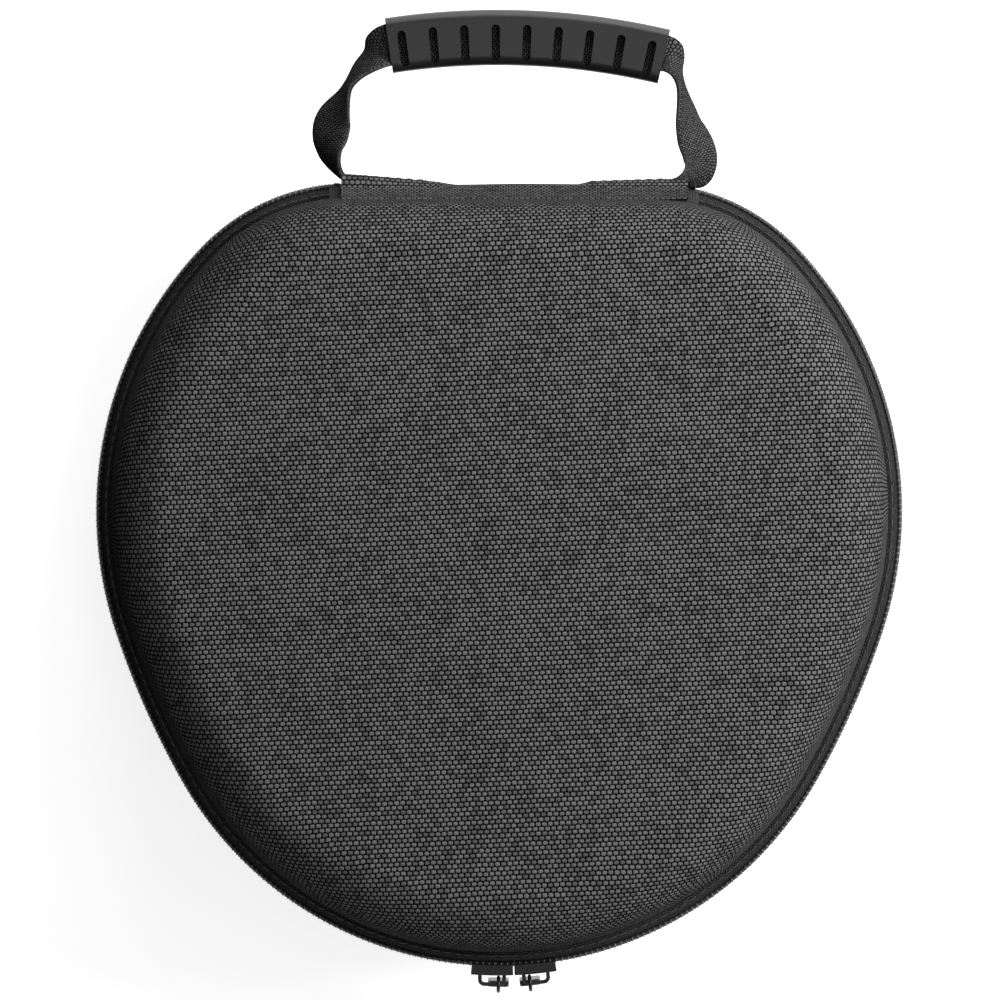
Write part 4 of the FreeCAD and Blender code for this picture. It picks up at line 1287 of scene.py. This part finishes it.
@dataclass(frozen=True)
class Cradle:
    """The cloth-covered foam block on the base's floor."""

    shrink: float = 1.2 * MM
    voxel: float = 4 * MM
    travel: float = 3 * MM
    frames: int = 20
    seam_rise: float = 11 * MM
    seam_depth: float = 0.9 * MM
    stitch_pitch: float = 3.4 * MM

    def block(self) -> bpy.types.Object:
        """The CAD block, merged, drawn in a little and remeshed evenly."""
        bm = bmesh.new()
        bm.from_mesh(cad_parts["headphone_cradle"].data)
        bmesh.ops.remove_doubles(bm, verts=bm.verts, dist=TINY)
        low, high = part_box("headphone_cradle")
        middle = (low + high) / 2
        for vert in bm.verts:
            reach = vert.co - middle
            size = (high - low) / 2
            vert.co = middle + Vector([part * (1 - self.shrink / half) for part, half in zip(reach, size)])
        piece = loose_mesh("cradle_cushion", bm, CRADLE_CLOTH, 180.0)
        remesh = piece.modifiers.new("even", "REMESH")
        remesh.mode = "VOXEL"
        remesh.voxel_size = self.voxel
        self.apply(piece)
        return piece

    def apply(self, piece: bpy.types.Object) -> None:
        """Bake the piece's modifiers into its mesh."""
        graph = bpy.context.evaluated_depsgraph_get()
        baked = bpy.data.meshes.new_from_object(piece.evaluated_get(graph))
        piece.modifiers.clear()
        piece.data = baked

    def swell(self, piece: bpy.types.Object) -> None:
        """Let the cover swell over the foam as cloth under slight pressure, with a capped travel."""
        scene = bpy.context.scene
        before = [vert.co.copy() for vert in piece.data.vertices]
        cloth = piece.modifiers.new("cloth", "CLOTH")
        cloth.settings.use_pressure = True
        cloth.settings.uniform_pressure_force = 4.0
        cloth.settings.effector_weights.gravity = 0.0
        cloth.settings.quality = 4
        for number in range(1, self.frames + 1):
            scene.frame_set(number)
        self.apply(piece)
        scene.frame_set(1)
        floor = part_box("headphone_cradle")[0].z
        for vert, start in zip(piece.data.vertices, before):
            move = vert.co - start
            if move.length > self.travel:
                move = move.normalized() * self.travel
            vert.co = start + move
            vert.co.z = max(vert.co.z, floor)

    def seam(self, bm: bmesh.types.BMesh, level: float) -> None:
        """Sink a sewn channel round the block a little below its top."""
        for vert in bm.verts:
            near = math.exp(-(((vert.co.z - level) / (1.6 * MM)) ** 2))
            vert.co -= vert.normal * self.seam_depth * near

    def build(self) -> None:
        """Build the block, swell its cover, sew its channel and let it ride on the base."""
        piece = self.block()
        self.swell(piece)
        rounder = piece.modifiers.new("rounder", "SUBSURF")
        rounder.levels = rounder.render_levels = 1
        self.apply(piece)
        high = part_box("headphone_cradle")[1]
        bm = bmesh.new()
        bm.from_mesh(piece.data)
        bm.normal_update()
        self.seam(bm, high.z - self.seam_rise)
        for face in bm.faces:
            face.smooth = True
        bm.to_mesh(piece.data)
        bm.free()
        if not piece.data.materials:
            piece.data.materials.append(CRADLE_CLOTH.material())
        riding(piece, "base", "headphone_cradle")


@dataclass(frozen=True)
class AccessoryPocket:
    """The net across the front of the lid, and the gathered elastic hem along its mouth."""

    inset: float = 12.4 * MM
    rise: float = 30.4 * MM
    mouth: float = 28.5 * MM
    cell: float = 5 * MM
    sag: float = 1.4 * MM
    hem_y: float = 32.5 * MM
    hem_half_width: float = 4.3 * MM
    hem_half_thick: float = 0.85 * MM
    gather: float = 3.1 * MM

    def net(self) -> bpy.types.Object:
        """The net: a flat sheet cut to the lid's plan, then let sag a little towards the inside."""
        bm = bmesh.new()
        count = 140
        girth = OUTLINE.girth
        bmesh.ops.create_circle(bm, cap_ends=True, segments=count, radius=1.0)
        bm.verts.ensure_lookup_table()
        for number, vert in enumerate(bm.verts):
            point, _ = OUTLINE.place(girth * number / count, self.inset)
            vert.co = Vector((point.x, point.y, Half.LID.height(self.rise)))
        self.cut(bm, (0, self.mouth, 0), (0, 1, 0), True)
        for number in range(-20, 21):
            self.cut(bm, (number * self.cell, 0, 0), (1, 0, 0), False)
            self.cut(bm, (0, number * self.cell, 0), (0, 1, 0), False)
        flat_area = sum(face.calc_area() for face in bm.faces)
        outwards(bm, lambda face: -face.normal.z)
        cloth_map(bm, lambda vert: (vert.co.x, vert.co.y))
        for vert in bm.verts:
            inset, _, _ = OUTLINE.locate(vert.co.x, vert.co.y)
            share = min(1.0, max(0.0, (inset - self.inset) / (35 * MM)))
            vert.co.z -= self.sag * math.sin(share * math.pi / 2)
        piece = loose_mesh("pocket_netting", bm, NETTING, 80.0)
        riding(piece, "lid", "accessory_net")
        return piece

    def cut(
        self,
        bm: bmesh.types.BMesh,
        place: tuple[float, float, float],
        normal: tuple[float, float, float],
        clear: bool,
    ) -> None:
        """Cut the sheet by an upright plane, and drop what lies beyond it if clear is set."""
        geometry = bm.verts[:] + bm.edges[:] + bm.faces[:]
        bmesh.ops.bisect_plane(bm, geom=geometry, dist=TINY, plane_co=place, plane_no=normal, clear_outer=clear)

    def hem(self) -> bpy.types.Object:
        """The elastic hem: a flat tube whose cloth is gathered in small pleats."""
        ends = [OUTLINE.locate(x, self.hem_y)[0] for x in (-60 * MM, 60 * MM)]
        half_length = 60 * MM + min(ends) - self.inset - 0.5 * MM
        bm = bmesh.new()
        angle_layer = bm.verts.layers.float.new("angle")
        bmesh.ops.create_circle(bm, segments=16, radius=1.0)
        for vert in bm.verts:
            angle = math.atan2(vert.co.y, vert.co.x)
            vert[angle_layer] = angle
            y = math.copysign(abs(math.cos(angle)) ** 0.6, math.cos(angle)) * self.hem_half_width
            z = math.copysign(abs(math.sin(angle)) ** 0.8, math.sin(angle)) * self.hem_half_thick * 0.85
            vert.co = Vector((-half_length, self.hem_y + y, Half.LID.height(30.9 * MM) + z))
        first = list(bm.edges)
        steps = 300
        step = 2 * half_length / steps
        last = bmesh.ops.spin(
            bm, geom=bm.verts[:] + first, cent=(0, 0, 0), axis=UP, dvec=(step, 0, 0), angle=0.0, steps=steps
        )["geom_last"]
        bmesh.ops.contextual_create(bm, geom=first)
        bmesh.ops.contextual_create(bm, geom=[item for item in last if isinstance(item, bmesh.types.BMEdge)])
        for vert in bm.verts:
            phase = vert.co.x / self.gather * 2 * math.pi + 0.8 * math.sin(vert.co.x / (17 * MM))
            pleat = math.sin(phase + 0.5 * math.sin(vert[angle_layer]))
            vert.co.z += 0.13 * MM * pleat * math.sin(vert[angle_layer])
            vert.co.y += 0.3 * MM * pleat * math.cos(vert[angle_layer])
        outwards(bm)
        cloth_map(bm, lambda vert: (vert.co.x, vert.co.y + vert.co.z))
        return riding(loose_mesh("pocket_hem", bm, HEM_CLOTH, 80.0), "lid", "accessory_net_hem")

    def build(self) -> None:
        """Build the hem and the net."""
        self.hem()
        self.net()


# ---- the studio ----


@dataclass(frozen=True)
class Studio:
    """A pale floor, soft light and a camera that looks straight down."""

    camera_height: float = 3.0
    frame_width: float = 0.26
    sensor: float = 36.0
    look_x: float = 0.0002
    look_y: float = 0.0199

    def floor(self) -> None:
        """A wide pale floor."""
        bm = bmesh.new()
        bmesh.ops.create_grid(bm, x_segments=2, y_segments=2, size=3.0)
        paint = Finish("studio_floor", 0.86, 0.9, 0.8, relief=0.0)
        piece = loose_mesh("studio_floor", bm, paint)
        shader = piece.data.materials[0].node_tree.nodes["Principled BSDF"]
        shader.inputs["Emission Color"].default_value = (1.0, 1.0, 1.0, 1.0)
        shader.inputs["Emission Strength"].default_value = 0.75
        piece.visible_diffuse = False

    def lamp(self, name: str, place: Vector, size: float, power: float) -> None:
        """A square soft light that faces the case."""
        lamp = bpy.data.lights.new(name, "AREA")
        lamp.size = size
        lamp.energy = power
        holder = bpy.data.objects.new(name, lamp)
        holder.location = place
        aim = Vector((0, 0, PARTING)) - place
        holder.rotation_euler = aim.to_track_quat("-Z", "Y").to_euler()
        bpy.context.scene.collection.objects.link(holder)

    def camera(self) -> None:
        """A long lens straight above the case."""
        lens = bpy.data.cameras.new("camera")
        lens.sensor_width = self.sensor
        lens.lens = self.sensor * (self.camera_height - PARTING) / self.frame_width
        lens.clip_end = 20.0
        holder = bpy.data.objects.new("camera", lens)
        holder.location = (self.look_x, self.look_y, self.camera_height)
        bpy.context.scene.collection.objects.link(holder)
        bpy.context.scene.camera = holder

    def build(self) -> None:
        """Build the floor, the lights, the world and the camera."""
        self.floor()
        self.lamp("key_light", Vector((1.1, 0.3, 0.8)), 0.6, 18.0)
        self.lamp("back_light", Vector((0.2, 1.05, 0.48)), 0.9, 7.0)
        self.lamp("top_light", Vector((0.3, 0.1, 1.7)), 1.0, 3.0)
        self.lamp("front_light", Vector((0.4, -1.2, 0.7)), 0.8, 4.0)
        world = bpy.data.worlds.new("studio_world")
        world.use_nodes = True
        world.node_tree.nodes["Background"].inputs["Color"].default_value = (1.0, 1.0, 1.0, 1.0)
        world.node_tree.nodes["Background"].inputs["Strength"].default_value = 0.045
        bpy.context.scene.world = world
        bpy.context.scene.view_settings.view_transform = "Standard"
        self.camera()


def main() -> None:
    """Build every sub-assembly in order, then the studio."""
    logging.basicConfig(level=logging.INFO, format="%(message)s")
    MouldedHalf(Half.LID, edge_round=14 * MM, crown_radius=1.0).build()
    MouldedHalf(Half.BASE, edge_round=12 * MM, crown_radius=0.0).build()
    for half in Half:
        ZipHalf(half).build()
    ZipStops().build()
    FabricHinge().build()
    CarryHandle().build()
    for side in Side:
        ZipSlider(side).build()
    Cradle().build()
    AccessoryPocket().build()
    Studio().build()


if __name__ == "__main__":
    main()
